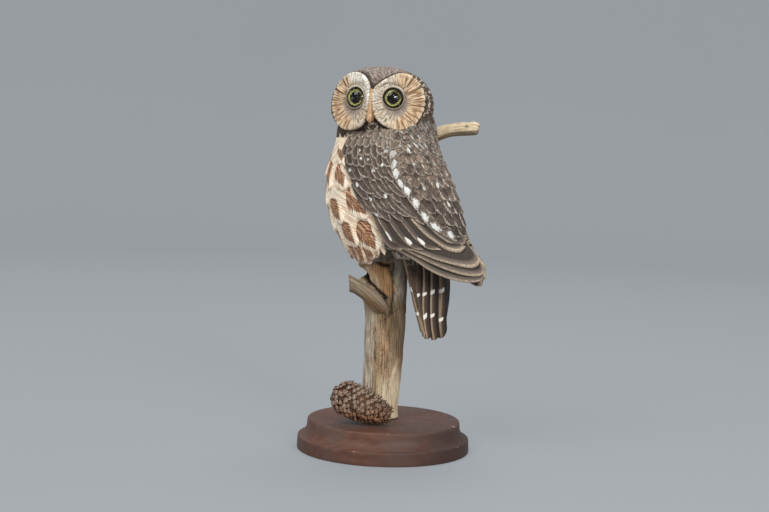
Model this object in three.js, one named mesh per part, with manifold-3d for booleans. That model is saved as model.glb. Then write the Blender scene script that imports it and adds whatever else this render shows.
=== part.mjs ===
// Carved and painted owl, life-size, perched on driftwood over a turned round base, with a pine cone.
// Millimetres, +Z up. The origin is the centre of the underside of the base.
// +X runs to the right and +Y away from the viewer, when the owl's face is seen.
import * as THREE from 'three';
import { mergeVertices } from 'three/addons/utils/BufferGeometryUtils.js';
import Module from 'manifold-3d';

const wasm = await Module();
wasm.setup();

// Driving dimensions, in millimetres and degrees
const GAP = 0.3; // left between pieces that rest against each other
const BASE = { height: 22, sides: 28 };
// The base's outline, radius and height: a flat band, a cove and a rounded top edge
const BASE_PROFILE = [
  [0, 0], [62.5, 0], [61.9, 8.4], [60.8, 10.4], [58.6, 12.2],
  [56.6, 15], [55.6, 19.6], [54.7, 21.4], [53.2, BASE.height], [0, BASE.height],
];
const EYE = { ball: 8.5, side: 12.1, forward: 16.8, up: 5, turn: 20 };

// The body stands on an upright axis; its back is turned this far from the viewer's right.
const BODY = { x: 3, y: -2, turn: 22 };
// Height, left and right edge in the front view, and half the width across the wings
const TORSO = [
  [134, -21, 34, 20],
  [139, -26, 42, 26],
  [146, -31, 48.5, 31.5],
  [155, -37, 50.5, 35.5],
  [165, -42, 49.5, 37.5],
  [176, -45.2, 46.5, 38.5],
  [188, -46.6, 43, 38.5],
  [200, -46.2, 38, 37],
  [212, -43.8, 33, 34],
  [222, -41.3, 30.5, 29],
  [231, -40.5, 30.2, 24],
  [239, -38.8, 28.8, 15],
  [246, -35, 25.5, 10],
];
// The folded wing: height, right edge in the front view, half width, and the turn of its front edge
const WING = [
  [122, 70, 28, 80],
  [130, 70.5, 30, 80],
  [137, 68, 32, 81],
  [144, 63, 35, 82],
  [151, 57, 38, 82.5],
  [158, 54, 39.8, 84],
  [166, 52.8, 41, 88],
  [175, 50.3, 41.8, 94],
  [184, 47.4, 41.8, 101],
  [193, 44.4, 41.2, 109],
  [202, 40.4, 39.5, 117],
  [211, 36, 36.5, 125],
  [219, 32.8, 32, 130],
  [226, 30.5, 28, 130],
];
const FAR_WING_DROP = 5; // the far wing's tip hangs this much lower

const HEAD = {
  x: -8.6, y: 0, z: 247, turn: 15,
  half: 37.5, front: 30, back: 31, top: 28.7, low: 22.5,
};
// A facial disc: its turn and tilt from the face axis, its size, and its centre beside the eye
const DISC = { turn: 27, tilt: 6, wide: 18.8, high: 19.9, outward: 3.7, up: -2.7, sides: 16 };
const FACE_DEPTH = 22; // from the head's centre to the plane of the discs at the eye

// The tail: its middle line, the turn of its outer face, and half its width by height
const TAIL = { top: [28.5, -9, 150], tip: [35.6, -11, 84.4], turn: 44, arch: 0.011 };
const TAIL_HALF = [
  [84, 6.5],
  [88, 9.4],
  [97, 13.4],
  [111, 17],
  [125, 21],
  [137, 22.5],
  [150, 20],
];

const radians = THREE.MathUtils.degToRad;
const clamp = THREE.MathUtils.clamp;
const lerp = THREE.MathUtils.lerp;

// A smooth curve through the rows of a table, read at a height; the first column is the height.
function readTable(rows, height, column) {
  const last = rows.length - 1;
  const at = clamp(height, rows[0][0], rows[last][0]);
  let i = 0;
  while (i < last - 1 && at > rows[i + 1][0]) i += 1;
  const slope = (k) => {
    const a = rows[Math.max(k - 1, 0)];
    const b = rows[Math.min(k + 1, last)];
    return (b[column] - a[column]) / (b[0] - a[0]);
  };
  const span = rows[i + 1][0] - rows[i][0];
  const t = (at - rows[i][0]) / span;
  const rise = rows[i + 1][column] - rows[i][column];
  const bend = (1 - t) * (span * slope(i) - rise) + t * (rise - span * slope(i + 1));
  return rows[i][column] + t * rise + t * (1 - t) * bend;
}

// One closed triangle mesh from points and faces, turned so that its faces point out
function closedGeometry(points, faces) {
  const volume = faces.reduce((sum, [a, b, c]) => {
    const normal = new THREE.Vector3().crossVectors(points[b], points[c]);
    return sum + points[a].dot(normal);
  }, 0);
  const index = faces.flatMap(([a, b, c]) => (volume < 0 ? [a, c, b] : [a, b, c]));
  const geometry = new THREE.BufferGeometry().setFromPoints(points);
  geometry.setIndex(index);
  return geometry;
}

// Rings of points joined one to the next, with a fan over each end
function loft(rings) {
  const count = rings[0].length;
  const points = rings.flat();
  const faces = [];
  for (let r = 0; r < rings.length - 1; r += 1) {
    for (let k = 0; k < count; k += 1) {
      const a = r * count + k;
      const b = r * count + ((k + 1) % count);
      faces.push([a, b, b + count], [a, b + count, a + count]);
    }
  }
  for (const [ring, start, turned] of [
    [rings[0], 0, true],
    [rings[rings.length - 1], (rings.length - 1) * count, false],
  ]) {
    const middle = new THREE.Vector3();
    ring.forEach((p) => middle.addScaledVector(p, 1 / count));
    points.push(middle);
    for (let k = 0; k < count; k += 1) {
      const next = (k + 1) % count;
      const face = [start + k, start + next, points.length - 1];
      faces.push(turned ? face.reverse() : face);
    }
  }
  return closedGeometry(points, faces);
}

function solidOf(geometry) {
  const bare = new THREE.BufferGeometry();
  bare.setAttribute('position', geometry.getAttribute('position'));
  bare.setIndex(geometry.index);
  const merged = mergeVertices(bare, 1e-4);
  const vertProperties = merged.attributes.position.array;
  const triVerts = new Uint32Array(merged.index.array);
  return new wasm.Manifold(new wasm.Mesh({ numProp: 3, vertProperties, triVerts }));
}

const join = (geometries) => wasm.Manifold.union(geometries.map(solidOf));

function geometryOf(solid) {
  const { vertProperties, triVerts } = solid.getMesh();
  const geometry = new THREE.BufferGeometry();
  geometry.setAttribute('position', new THREE.BufferAttribute(vertProperties, 3));
  geometry.setIndex(new THREE.BufferAttribute(triVerts, 1));
  geometry.computeVertexNormals();
  return geometry;
}

// A point on the bird's rounded body: turn 0 is the middle of the back, 90 the near side and
// 180 the breast.
function roundBody(turn, height, left, right, half) {
  const sin = Math.sin(radians(BODY.turn));
  const cos = Math.cos(radians(BODY.turn));
  const edge = Math.cos(radians(turn)) > 0 ? right - BODY.x : BODY.x - left;
  const reach = Math.sqrt(Math.max(edge * edge - half * half * sin * sin, 1)) / cos;
  const back = reach * Math.cos(radians(turn));
  const side = half * Math.sin(radians(turn));
  return new THREE.Vector3(
    BODY.x + back * cos - side * sin,
    BODY.y - back * sin - side * cos,
    height,
  );
}

function torso(turn, height) {
  const [left, right, half] = [1, 2, 3].map((k) => readTable(TORSO, height, k));
  return roundBody(turn, height, left, right, half);
}

function wingSkin(turn, height) {
  const [right, half] = [1, 2].map((k) => readTable(WING, height, k));
  const left = readTable(TORSO, height, 1) - 2.2;
  return roundBody(turn, height, left, right, half);
}

const frontEdge = (height) => readTable(WING, height, 3);

// The outer face of the tail; side runs towards the viewer's left.
function tailSheet(side, height) {
  const t = (TAIL.top[2] - height) / (TAIL.top[2] - TAIL.tip[2]);
  const sink = TAIL.arch * side * side;
  const turn = radians(TAIL.turn);
  return new THREE.Vector3(
    lerp(TAIL.top[0], TAIL.tip[0], t) - side * Math.cos(turn) - sink * Math.sin(turn),
    lerp(TAIL.top[1], TAIL.tip[1], t) - side * Math.sin(turn) + sink * Math.cos(turn),
    height,
  );
}

// A point lifted off a surface along its outward normal
function lifted(surface, u, height, lift) {
  const across = surface(u + 0.5, height).sub(surface(u - 0.5, height));
  const up = surface(u, height + 0.5).sub(surface(u, height - 0.5));
  const normal = up.cross(across).normalize();
  return surface(u, height).addScaledVector(normal, lift);
}

const scaleTip = (s) => lerp(0.75, 1, 1.6 * s) - 0.7 * Math.max(0, 2 * s - 1);
const longTip = (s) => Math.min(0.55 + 1.5 * s, 1, 0.25 + 4 * (1 - s));

// A feather laid on a surface: a closed plate along a path of (u, height) points.
// Its root and tip are lifted off the surface by their own amounts, its middle is crowned, and
// lean raises its right-hand edge over its neighbour.
function feather(surface, path, { width, lift, thick, crown = 0.6, lean = 0, steps = 4, shape }) {
  const line = new THREE.CatmullRomCurve3(path.map(([u, h]) => new THREE.Vector3(u, h, 0)));
  const top = [];
  const bottom = [];
  for (let i = 0; i <= steps; i += 1) {
    const s = i / steps;
    const at = line.getPoint(s);
    const along = line.getTangent(s);
    const unit = surface(at.x + 0.5, at.y).distanceTo(surface(at.x - 0.5, at.y));
    const run = new THREE.Vector2(along.x * unit, along.y).normalize();
    for (const side of [-1, 0, 1]) {
      const reach = side * width * shape(s);
      const u = at.x + (run.y * reach) / unit;
      const height = at.y - run.x * reach;
      const rise = lerp(lift[0], lift[1], s) + (side === 0 ? crown : lean * side);
      top.push(lifted(surface, u, height, rise));
      bottom.push(lifted(surface, u, height, rise - thick));
    }
  }
  const under = top.length;
  const faces = [];
  const quad = (a, b, c, d) => faces.push([a, b, c], [a, c, d]);
  for (let i = 0; i < steps; i += 1) {
    for (const k of [0, 1]) {
      const a = i * 3 + k;
      quad(a, a + 1, a + 4, a + 3);
      quad(under + a + 3, under + a + 4, under + a + 1, under + a);
    }
    const left = i * 3;
    const right = left + 2;
    quad(left, left + 3, under + left + 3, under + left);
    quad(right + 3, right, under + right, under + right + 3);
  }
  for (const k of [0, 1]) {
    const end = steps * 3 + k;
    quad(k + 1, k, under + k, under + k + 1);
    quad(end, end + 1, under + end + 1, under + end);
  }
  return closedGeometry([...top, ...bottom], faces);
}

// The belly hangs lower at the breast than at the flanks, which end at the wings' lower edge.
function underside(turn) {
  const fromBack = Math.abs(((turn + 180) % 360) - 180);
  return lerp(147, 135, THREE.MathUtils.smoothstep(fromBack, 80, 112));
}

function torsoCore() {
  const shares = [0, 0.06, 0.17, 0.31, 0.46, 0.62, 0.77, 0.9, 1];
  const count = 18;
  const crest = TORSO[TORSO.length - 1][0];
  return loft(shares.map((share) => (
    Array.from({ length: count }, (_, k) => {
      const turn = (k * 360) / count;
      return torso(turn, lerp(underside(turn), crest, share));
    })
  )));
}

// Both folded wings as one layer that wraps the back, sharp at its two front edges
function wingLayer() {
  const heights = [139, 145, 151, 159, 170, 184, 198, 211, 220, 226];
  const steps = 13;
  return loft(heights.map((h) => {
    const edge = frontEdge(h) - 2;
    const sink = 4.5 * THREE.MathUtils.smoothstep(154 - h, 0, 10);
    const thin = 1.6 * THREE.MathUtils.smoothstep(h, 205, 226);
    const ring = [];
    for (let k = 0; k <= steps; k += 1) {
      ring.push(lifted(wingSkin, lerp(-edge, edge, k / steps), h, -sink - thin));
    }
    return ring;
  }));
}

// Broad scale feathers of the mantle and wing, in staggered rows from the shoulder down
function coverts(side) {
  const found = [];
  const columns = side > 0 ? 4 : 3;
  for (let row = 0; row < 3; row += 1) {
    const top = 210 - row * 15;
    for (let k = 0; k < columns; k += 1) {
      const share = (k + (row % 2 ? 0.45 : 0.75)) / columns;
      const bottom = top - 22;
      const start = [side * share * (frontEdge(top) - 8), top];
      const end = [side * (share * (frontEdge(bottom) - 8) - 3 * row), bottom];
      found.push(feather(wingSkin, [start, end], {
        width: 8.5, lift: [-1.4, 1.3], thick: 2.8, steps: 2, lean: -0.5 * side, shape: scaleTip,
      }));
    }
  }
  return found;
}

function secondaries(side) {
  return [0, 1, 2, 3, 4].map((k) => {
    const path = [
      [80 - 11.5 * k, 170],
      [75 - 13 * k, 159.5],
      [68 - 14 * k, 150.5],
    ].map(([turn, height]) => [side * turn, height]);
    return feather(wingSkin, path, {
      width: 7,
      lift: [-0.6, 1.8 - 0.3 * k],
      thick: 4.2,
      steps: 3,
      lean: (0.25 * k - 1.5) * side,
      shape: longTip,
    });
  });
}

// The three primaries that show, nested one under the other below the secondaries
function primaries(side) {
  const paths = [
    [[80, 152], [66, 144.5], [52, 135.5], [38, 131.5], [22, 130.8], [8, 133], [-2, 138]],
    [[72, 152], [60, 146.5], [48, 141], [36, 137.3], [22, 136], [9, 138], [1, 144]],
    [[68, 153], [54, 148.5], [43, 145], [30, 142.5], [19, 142.5], [8, 146], [3, 151]],
  ];
  const drop = side < 0 ? FAR_WING_DROP : 0;
  return paths.map((path, layer) => {
    const own = path.map(([turn, height], i) => (
      [side * turn, height - (drop * i) / (path.length - 1)]
    ));
    const level = -4.6 + 2 * layer + (side > 0 ? 0.6 : 0);
    return feather(wingSkin, own, {
      width: 5.6,
      lift: [level - 0.6, level + 0.4],
      thick: 2.6,
      steps: 4,
      lean: -0.5 * side,
      shape: longTip,
    });
  });
}

// Broad leaf-shaped feathers of the breast, in seven staggered columns
function breast() {
  const found = [];
  for (let column = -3; column <= 3; column += 1) {
    const share = 0.24 * column;
    const spread = (height) => 180 - share * (186 - frontEdge(height));
    const first = column % 2 ? 220 : 208;
    for (let top = first; top > 160; top -= 24) {
      const bottom = Math.max(top - 29, underside(spread(150)));
      found.push(feather(torso, [[spread(top), top], [spread(bottom), bottom]], {
        width: 8.6, lift: [-1.4, 1.2], thick: 2.8, steps: 2, shape: scaleTip,
      }));
    }
  }
  return found;
}

// Seven tail feathers in a slightly arched fan, the fifth on top
function tail() {
  const found = [];
  const count = 7;
  for (let k = 0; k < count; k += 1) {
    const place = lerp(1, -1, k / (count - 1));
    const rank = k < 5 ? k : 8 - k;
    const tip = 89.5 - 4.5 * Math.sin((Math.PI * (k + 0.8)) / count);
    const edge = (height) => place * (readTable(TAIL_HALF, height, 1) - 3.4);
    const path = [150, 128, 108, tip].map((h) => [edge(h), h]);
    const level = 0.9 * rank - 2.6;
    found.push(feather(tailSheet, path, {
      width: 5,
      lift: [level, level],
      thick: 2.6,
      steps: 3,
      lean: k < 5 ? -0.4 : 0.4,
      shape: longTip,
    }));
  }
  return found;
}

// Wood inside the fan, from the rump down to the tips of the feathers
function tailCore() {
  const rings = [156, 146, 130, 112, 96, 88].map((height) => {
    const half = readTable(TAIL_HALF, height, 1) * 0.86;
    const ring = [];
    for (const side of [1, 0.5, 0, -0.5, -1]) ring.push(lifted(tailSheet, side * half, height, -1.2));
    for (const side of [-1, 0, 1]) ring.push(lifted(tailSheet, side * half * 0.96, height, -4.2));
    return ring;
  });
  return loft(rings);
}

// The head's own directions, turned towards the viewer's left
function headDirection(side, forward, up) {
  const turn = radians(HEAD.turn);
  return new THREE.Vector3(
    side * Math.cos(turn) - forward * Math.sin(turn),
    -side * Math.sin(turn) - forward * Math.cos(turn),
    up,
  );
}

const headPoint = (side, forward, up) => (
  headDirection(side, forward, up).add(new THREE.Vector3(HEAD.x, HEAD.y, HEAD.z))
);

// The frame of one disc in the head's own directions (side, forward, up)
function discFrame(side) {
  const turn = radians(DISC.turn);
  const tilt = radians(DISC.tilt);
  const normal = new THREE.Vector3(
    side * Math.sin(turn) * Math.cos(tilt),
    Math.cos(turn) * Math.cos(tilt),
    Math.sin(tilt),
  );
  const outward = new THREE.Vector3(side * Math.cos(turn), -Math.sin(turn), 0);
  const up = new THREE.Vector3(
    -side * Math.sin(turn) * Math.sin(tilt),
    -Math.cos(turn) * Math.sin(tilt),
    Math.cos(tilt),
  );
  const eye = new THREE.Vector3(side * EYE.side, FACE_DEPTH, EYE.up);
  const centre = eye.clone().addScaledVector(outward, DISC.outward).addScaledVector(up, DISC.up);
  return { normal, outward, up, eye, centre };
}

// The head is a rounded block whose face is eased back towards the planes of the two discs.
function headRadius(direction) {
  const { x, y, z } = direction;
  const tall = z > 0 ? HEAD.top : HEAD.low;
  const outline = (Math.abs(x / HEAD.half) ** 2.2 + Math.abs(z / tall) ** 2.2) ** (1 / 2.2);
  const depth = y > 0 ? HEAD.front : HEAD.back;
  const power = y > 0 ? 2.5 : 2.2;
  const block = 1 / (outline ** power + Math.abs(y / depth) ** power) ** (1 / power);
  let total = block ** -14;
  for (const side of [-1, 1]) {
    const { normal, centre } = discFrame(side);
    const facing = direction.dot(normal);
    if (facing > 0.05) total += ((centre.dot(normal) - 1.5) / facing) ** -14;
  }
  return total ** (-1 / 14);
}

function headBlock() {
  const rings = [];
  const rows = 12;
  const count = 22;
  for (let i = 1; i < rows; i += 1) {
    const polar = (Math.PI * i) / rows;
    const ring = [];
    for (let k = 0; k < count; k += 1) {
      const roll = (2 * Math.PI * k) / count;
      const direction = new THREE.Vector3(
        Math.sin(polar) * Math.cos(roll),
        Math.cos(polar),
        Math.sin(polar) * Math.sin(roll),
      );
      const p = direction.multiplyScalar(headRadius(direction));
      ring.push(headPoint(p.x, p.y, p.z));
    }
    rings.push(ring);
  }
  return loft(rings);
}

// One facial disc: a shallow dish with a rounded rim, undercut all round
function disc(side) {
  const { normal, outward, up, centre } = discFrame(side);
  const profile = [
    [0.72, -9],
    [1.0, 0.2],
    [0.94, 1.7],
    [0.78, 0.7],
    [0.45, -1.2],
  ];
  const rings = profile.map(([share, height]) => {
    const ring = [];
    for (let k = 0; k < DISC.sides; k += 1) {
      const angle = (2 * Math.PI * k) / DISC.sides;
      const inward = Math.max(0, Math.cos(angle - radians(130)));
      const size = share * (1 - 0.09 * inward ** 3);
      const p = centre.clone()
        .addScaledVector(outward, size * DISC.wide * Math.cos(angle))
        .addScaledVector(up, size * DISC.high * Math.sin(angle))
        .addScaledVector(normal, height);
      ring.push(headPoint(p.x, p.y, p.z));
    }
    return ring;
  });
  return loft(rings);
}

function ball(radius, centre, around, down) {
  const sphere = new THREE.SphereGeometry(radius, around, down);
  return sphere.translate(centre.x, centre.y, centre.z);
}

const eyeCentre = (side) => headPoint(side * EYE.side, EYE.forward, EYE.up);

// The raised ring of the lids round one eye
function lids(side) {
  const axis = headDirection(side * Math.sin(radians(EYE.turn)), Math.cos(radians(EYE.turn)), 0.08);
  const ring = new THREE.TorusGeometry(7.9, 1.5, 4, 12);
  ring.applyQuaternion(new THREE.Quaternion().setFromUnitVectors(
    new THREE.Vector3(0, 0, 1),
    axis.clone().normalize(),
  ));
  const at = eyeCentre(side).addScaledVector(axis, 4.6);
  return ring.translate(at.x, at.y, at.z);
}

// The bill: a narrow hooked ridge between the discs, as sections down its length
function bill() {
  const sections = [
    // forward, up, half width, depth
    [27.5, 8, 1.6, 6],
    [30.5, 2, 2.4, 8],
    [32.5, -4, 2.8, 9],
    [32.8, -8.5, 2.3, 8],
    [31.3, -12.2, 0.7, 3],
  ];
  return loft(sections.map(([forward, up, half, depth]) => (
    [[-1, -0.6], [-0.75, -0.15], [0, 0], [0.75, -0.15], [1, -0.6], [0.8, -1], [-0.8, -1]]
      .map(([side, back]) => headPoint(side * half, forward + back * depth, up))
  )));
}

// A limb of the driftwood: an uneven round section along a smooth curve
function limb(stations, { sides, wobble, phase, grow }) {
  const curve = new THREE.CatmullRomCurve3(
    stations.map(([x, y, z]) => new THREE.Vector3(x, y, z)),
  );
  const steps = (stations.length - 1) * 2;
  const { normals, binormals } = curve.computeFrenetFrames(steps);
  const rings = [];
  for (let i = 0; i <= steps; i += 1) {
    const at = i / 2;
    const low = Math.min(Math.floor(at), stations.length - 2);
    const radius = lerp(stations[low][3], stations[low + 1][3], at - low);
    const centre = curve.getPoint(i / steps);
    if (i === 0) centre.addScaledVector(curve.getTangent(0), -grow);
    if (i === steps) centre.addScaledVector(curve.getTangent(1), grow);
    const ring = [];
    for (let k = 0; k < sides; k += 1) {
      const angle = (2 * Math.PI * k) / sides;
      const ridges = Math.sin(3 * angle + phase) + 0.7 * Math.sin(5 * angle + 0.4 * i);
      const uneven = 1 + wobble * ridges;
      const reach = radius * uneven + grow;
      ring.push(centre.clone()
        .addScaledVector(normals[i], Math.cos(angle) * reach)
        .addScaledVector(binormals[i], Math.sin(angle) * reach));
    }
    rings.push(ring);
  }
  return loft(rings);
}

const FOOT = BASE.height + GAP;

function perchSolid(grow = 0) {
  const trunk = [
    [-2.5, 4, FOOT + grow, 15],
    [-2.6, 4, 32, 13.6],
    [-1.9, 4, 55, 14],
    [-1.6, 4, 80, 14.4],
    [-1.8, 3.5, 100, 14.2],
    [-5.5, 1.5, 116, 14],
    [-9, -0.5, 129, 13],
    [-10.5, -1, 137.5, 11.5],
  ];
  const stub = [
    [-1, -4, 98, 8],
    [-8, -8, 104.5, 7.3],
    [-15, -10.5, 111, 6.4],
    [-22, -12, 116.5, 5.6],
    [-28.5, -13, 121, 5.9],
  ];
  const rear = [
    [2.5, 6, 94, 10.5],
    [3.5, 9, 112, 10.5],
    [4.5, 20, 130, 9.8],
    [7, 40, 152, 8.4],
    [10, 50, 180, 7],
    [15, 49, 206, 6.2],
    [22, 45, 222, 5.5],
    [40, 39.5, 232.4, 4.9],
    [64, 35, 235.2, 4.6],
  ];
  const stump = [
    [3.5, 4, 100, 10.5],
    [4.8, 3.5, 124, 9.8],
    [5.2, 3, 147, 8.6],
  ];
  return join([
    limb(trunk, { sides: 8, wobble: 0.035, phase: 0.6, grow }),
    limb(stub, { sides: 7, wobble: 0.06, phase: 1.1, grow }),
    limb(rear, { sides: 6, wobble: 0.05, phase: 2.3, grow }),
    limb(stump, { sides: 6, wobble: 0.05, phase: 0.2, grow }),
  ]);
}

const GOLDEN_TURN = Math.PI * (3 - Math.sqrt(5));

// The pine cone: a tapered core set with scales along a spiral
function pineCone() {
  const from = new THREE.Vector3(-35.5, -25.5, 41);
  const to = new THREE.Vector3(2.5, -27.5, 29.8);
  const axis = to.clone().sub(from).normalize();
  const side = new THREE.Vector3(0, -1, 0).cross(axis).normalize();
  const front = axis.clone().cross(side);
  const length = from.distanceTo(to);
  const radiusAt = (t) => 4.4 + 6.4 * Math.sin(Math.PI * (0.32 + 0.6 * t)) ** 0.9;
  const around = (t, angle, reach, slide = 0) => (
    from.clone()
      .addScaledVector(axis, t * length + slide)
      .addScaledVector(side, Math.cos(angle) * reach)
      .addScaledVector(front, Math.sin(angle) * reach)
  );
  const rings = [0, 0.12, 0.35, 0.6, 0.85, 1].map((t) => (
    Array.from({ length: 10 }, (_, k) => (
      around(t, (Math.PI * k) / 5, radiusAt(t) * (t === 0 || t === 1 ? 0.5 : 0.86))
    ))
  ));
  const scales = [];
  const count = 26;
  for (let i = 0; i < count; i += 1) {
    const t = (i + 0.5) / count;
    const angle = i * GOLDEN_TURN;
    const reach = radiusAt(t);
    const spread = 3.4 / reach;
    const foot = [-1, 1].map((k) => around(t, angle + k * spread, reach * 0.6, 3.5));
    const tip = [-0.8, 0.8].map((k) => around(t, angle + k * spread, reach + 0.2, -1.2));
    const outer = around(t, angle, reach + 1.1, -0.4);
    const inner = around(t, angle, reach * 0.6, -2);
    const points = [foot[0], foot[1], tip[0], tip[1], outer, inner];
    scales.push(closedGeometry(points, [
      [0, 1, 4], [0, 4, 2], [1, 3, 4], [2, 4, 3], [0, 2, 5], [1, 5, 3], [2, 3, 5], [0, 5, 1],
    ]));
  }
  return join([loft(rings), ...scales]);
}

function baseGeometry() {
  const profile = BASE_PROFILE.map(([radius, height]) => new THREE.Vector2(radius, height));
  const turned = new THREE.LatheGeometry(profile, BASE.sides);
  return turned.rotateX(Math.PI / 2);
}

// The whole bird in one piece of wood, hollowed for its eyes and where it sits on the perch
function owlSolid() {
  const bird = join([
    torsoCore(),
    wingLayer(),
    ...[1, -1].flatMap((side) => [...coverts(side), ...secondaries(side), ...primaries(side)]),
    ...breast(),
    tailCore(),
    ...tail(),
    headBlock(),
    ...[1, -1].flatMap((side) => [disc(side), lids(side)]),
    bill(),
  ]);
  const sockets = join([1, -1].map((side) => ball(EYE.ball + GAP, eyeCentre(side), 12, 8)));
  const carved = bird.subtract(sockets).subtract(perchSolid(GAP));
  return carved.decompose().sort((a, b) => b.volume() - a.volume())[0];
}

const paint = (color, roughness, metalness = 0) => (
  new THREE.MeshStandardMaterial({ color, roughness, metalness })
);

function piece(name, geometry, material) {
  const mesh = new THREE.Mesh(geometry, material);
  mesh.name = name;
  return mesh;
}

const carving = new THREE.Group();
carving.add(
  piece('base', baseGeometry(), paint('#4a2a20', 0.45)),
  piece('perch', geometryOf(perchSolid()), paint('#9a8468', 0.85)),
  piece('pine_cone', geometryOf(pineCone()), paint('#6b4a34', 0.8)),
  piece('owl', geometryOf(owlSolid()), paint('#5f5147', 0.7)),
  piece('left_eye', ball(EYE.ball, eyeCentre(1), 12, 8), paint('#8f9a2e', 0.05)),
  piece('right_eye', ball(EYE.ball, eyeCentre(-1), 12, 8), paint('#8f9a2e', 0.05)),
);

export default carving;
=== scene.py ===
"""Looks of a carved and painted owl on driftwood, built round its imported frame.

Shapes are worked out in millimetres, +Z up, and become metres when a mesh is made.
"""
import math
from dataclasses import dataclass
import bpy
import bmesh
import numpy as np
from mathutils import Matrix, Vector, noise


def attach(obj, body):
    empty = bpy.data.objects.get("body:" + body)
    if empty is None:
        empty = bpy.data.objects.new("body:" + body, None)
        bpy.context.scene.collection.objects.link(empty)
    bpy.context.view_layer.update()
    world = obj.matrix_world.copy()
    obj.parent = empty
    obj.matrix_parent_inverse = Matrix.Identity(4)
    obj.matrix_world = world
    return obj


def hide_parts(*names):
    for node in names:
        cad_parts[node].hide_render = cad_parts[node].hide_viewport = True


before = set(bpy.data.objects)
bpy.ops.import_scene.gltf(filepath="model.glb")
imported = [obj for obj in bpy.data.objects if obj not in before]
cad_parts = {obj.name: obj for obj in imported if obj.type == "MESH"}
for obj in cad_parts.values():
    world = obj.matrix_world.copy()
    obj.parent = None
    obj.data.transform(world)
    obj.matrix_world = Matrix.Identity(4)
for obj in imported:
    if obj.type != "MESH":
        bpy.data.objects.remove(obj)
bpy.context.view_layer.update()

MM = 0.001
GAP = 0.3
GOLDEN_TURN = math.pi * (3 - math.sqrt(5))
OWL_SEED, CONE_SEED = 7, 3

# Camera: the photograph's view
IMAGE_WIDTH = 769
FOCAL_PIXELS = 1300
CAMERA_PLACE = (-0.0032, -0.9364, 0.2024)
CAMERA_PITCH = 3.8
CAMERA_ROLL = 1.9

# Sizes of the owl, as in the solids
BODY_X, BODY_Y, BODY_TURN = 3.0, -2.0, 22.0
# Height, left and right edge in the front view, half the width across the wings
TORSO = np.array([
    [134, -21, 34, 20], [139, -26, 42, 26], [146, -31, 48.5, 31.5], [155, -37, 50.5, 35.5],
    [165, -42, 49.5, 37.5], [176, -45.2, 46.5, 38.5], [188, -46.6, 43, 38.5], [200, -46.2, 38, 37],
    [212, -43.8, 33, 34], [222, -41.3, 30.5, 28.2], [231, -40.5, 30.2, 20.5], [239, -38.8, 28.8, 13.5],
    [246, -35, 25.5, 10],
])
# Height, right edge in the front view, half width, turn of the front edge
WING = np.array([
    [122, 70, 28, 80], [130, 70.5, 30, 80], [137, 68, 32, 81], [144, 63, 35, 82],
    [151, 57, 38, 82.5], [158, 54, 39.8, 84], [166, 52.8, 41, 88], [175, 50.3, 41.8, 94],
    [184, 47.4, 41.8, 101], [193, 44.4, 41.2, 109], [202, 40.4, 39.5, 117], [211, 36, 36.5, 125],
    [219, 32.8, 32, 130], [226, 30.5, 28, 130],
])
FAR_WING_DROP = 5
COVERT_TOP, MANTLE_TOP, CREAM_TOP = 231.5, 235, 222
WING_TOP = WING[-1, 0]
HEAD_AT = np.array([-8.6, 0, 247])
HEAD_TURN = 15
HEAD = dict(half=37.5, front=30, back=31, top=28.7, low=22.5)
DISC = dict(turn=27, tilt=6, wide=18.8, high=19.9, outward=3.7, up=-2.7)
FACE_DEPTH = 22
EYE = dict(ball=8.5, side=12.1, forward=16.8, up=5, turn=20)
LID = dict(forward=4.6, reach=7.6, thick=0.62)
FOLD_REACH, FOLD_WIDTH = 10.6, 0.6
GROOVE_FROM, GROOVE_TO = -84.0, 66
TAIL_TOP, TAIL_TIP = (28.5, -9, 150), (35.6, -11, 84.4)
TAIL_TURN, TAIL_ARCH, TAIL_ARCH_FAR = 44, 0.011, 0.007
TAIL_HALF = np.array([[84, 6.5], [88, 9.4], [97, 13.4], [111, 17], [125, 21], [137, 22.5], [150, 20]])


# Numbers and curves

def smooth(value, low, high):
    t = np.clip((value - low) / (high - low), 0, 1)
    return t * t * (3 - 2 * t)


def mix(a, b, t):
    return a + (b - a) * t


def read_table(rows, height, column):
    """A smooth curve through the rows of a table, read at a height."""
    heights = rows[:, 0]
    values = rows[:, column]
    last = len(rows) - 1
    at = np.clip(height, heights[0], heights[-1])
    i = np.clip(np.searchsorted(heights, at) - 1, 0, last - 1)
    before = np.maximum(np.arange(last + 1) - 1, 0)
    after = np.minimum(np.arange(last + 1) + 1, last)
    slope = (values[after] - values[before]) / (heights[after] - heights[before])
    span = heights[i + 1] - heights[i]
    t = (at - heights[i]) / span
    rise = values[i + 1] - values[i]
    bend = (1 - t) * (span * slope[i] - rise) + t * (rise - span * slope[i + 1])
    return values[i] + t * rise + t * (1 - t) * bend


def curve(points, share):
    """A point of a smooth curve through the points; share runs from 0 to 1."""
    points = np.asarray(points, float)
    ends = [2 * points[0] - points[1]], [2 * points[-1] - points[-2]]
    knots = np.concatenate([ends[0], points, ends[1]])
    at = np.clip(np.asarray(share, float), 0, 1) * (len(points) - 1)
    i = np.minimum(at.astype(int), len(points) - 2)
    t = (at - i)[..., None]
    a, b, c, d = (knots[i + k] for k in range(4))
    return 0.5 * (2 * b + (c - a) * t + (2 * a - 5 * b + 4 * c - d) * t ** 2
                  + (3 * b - a - 3 * c + d) * t ** 3)


def unit(vectors):
    return vectors / np.maximum(np.linalg.norm(vectors, axis=-1, keepdims=True), 1e-9)


def sin_cos(degrees):
    return math.sin(math.radians(degrees)), math.cos(math.radians(degrees))


def circle(count):
    """Angles once round, the last one left out."""
    return np.linspace(0, 2 * math.pi, count, endpoint=False)


def together(*values):
    """Values side by side in a last dimension, each spread to the shape that all share."""
    return np.stack(np.broadcast_arrays(*values), -1)


def placed(centre, *moves):
    """The centre moved by amounts along directions."""
    for way, amount in moves:
        centre = centre + way * amount[..., None]
    return centre


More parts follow.
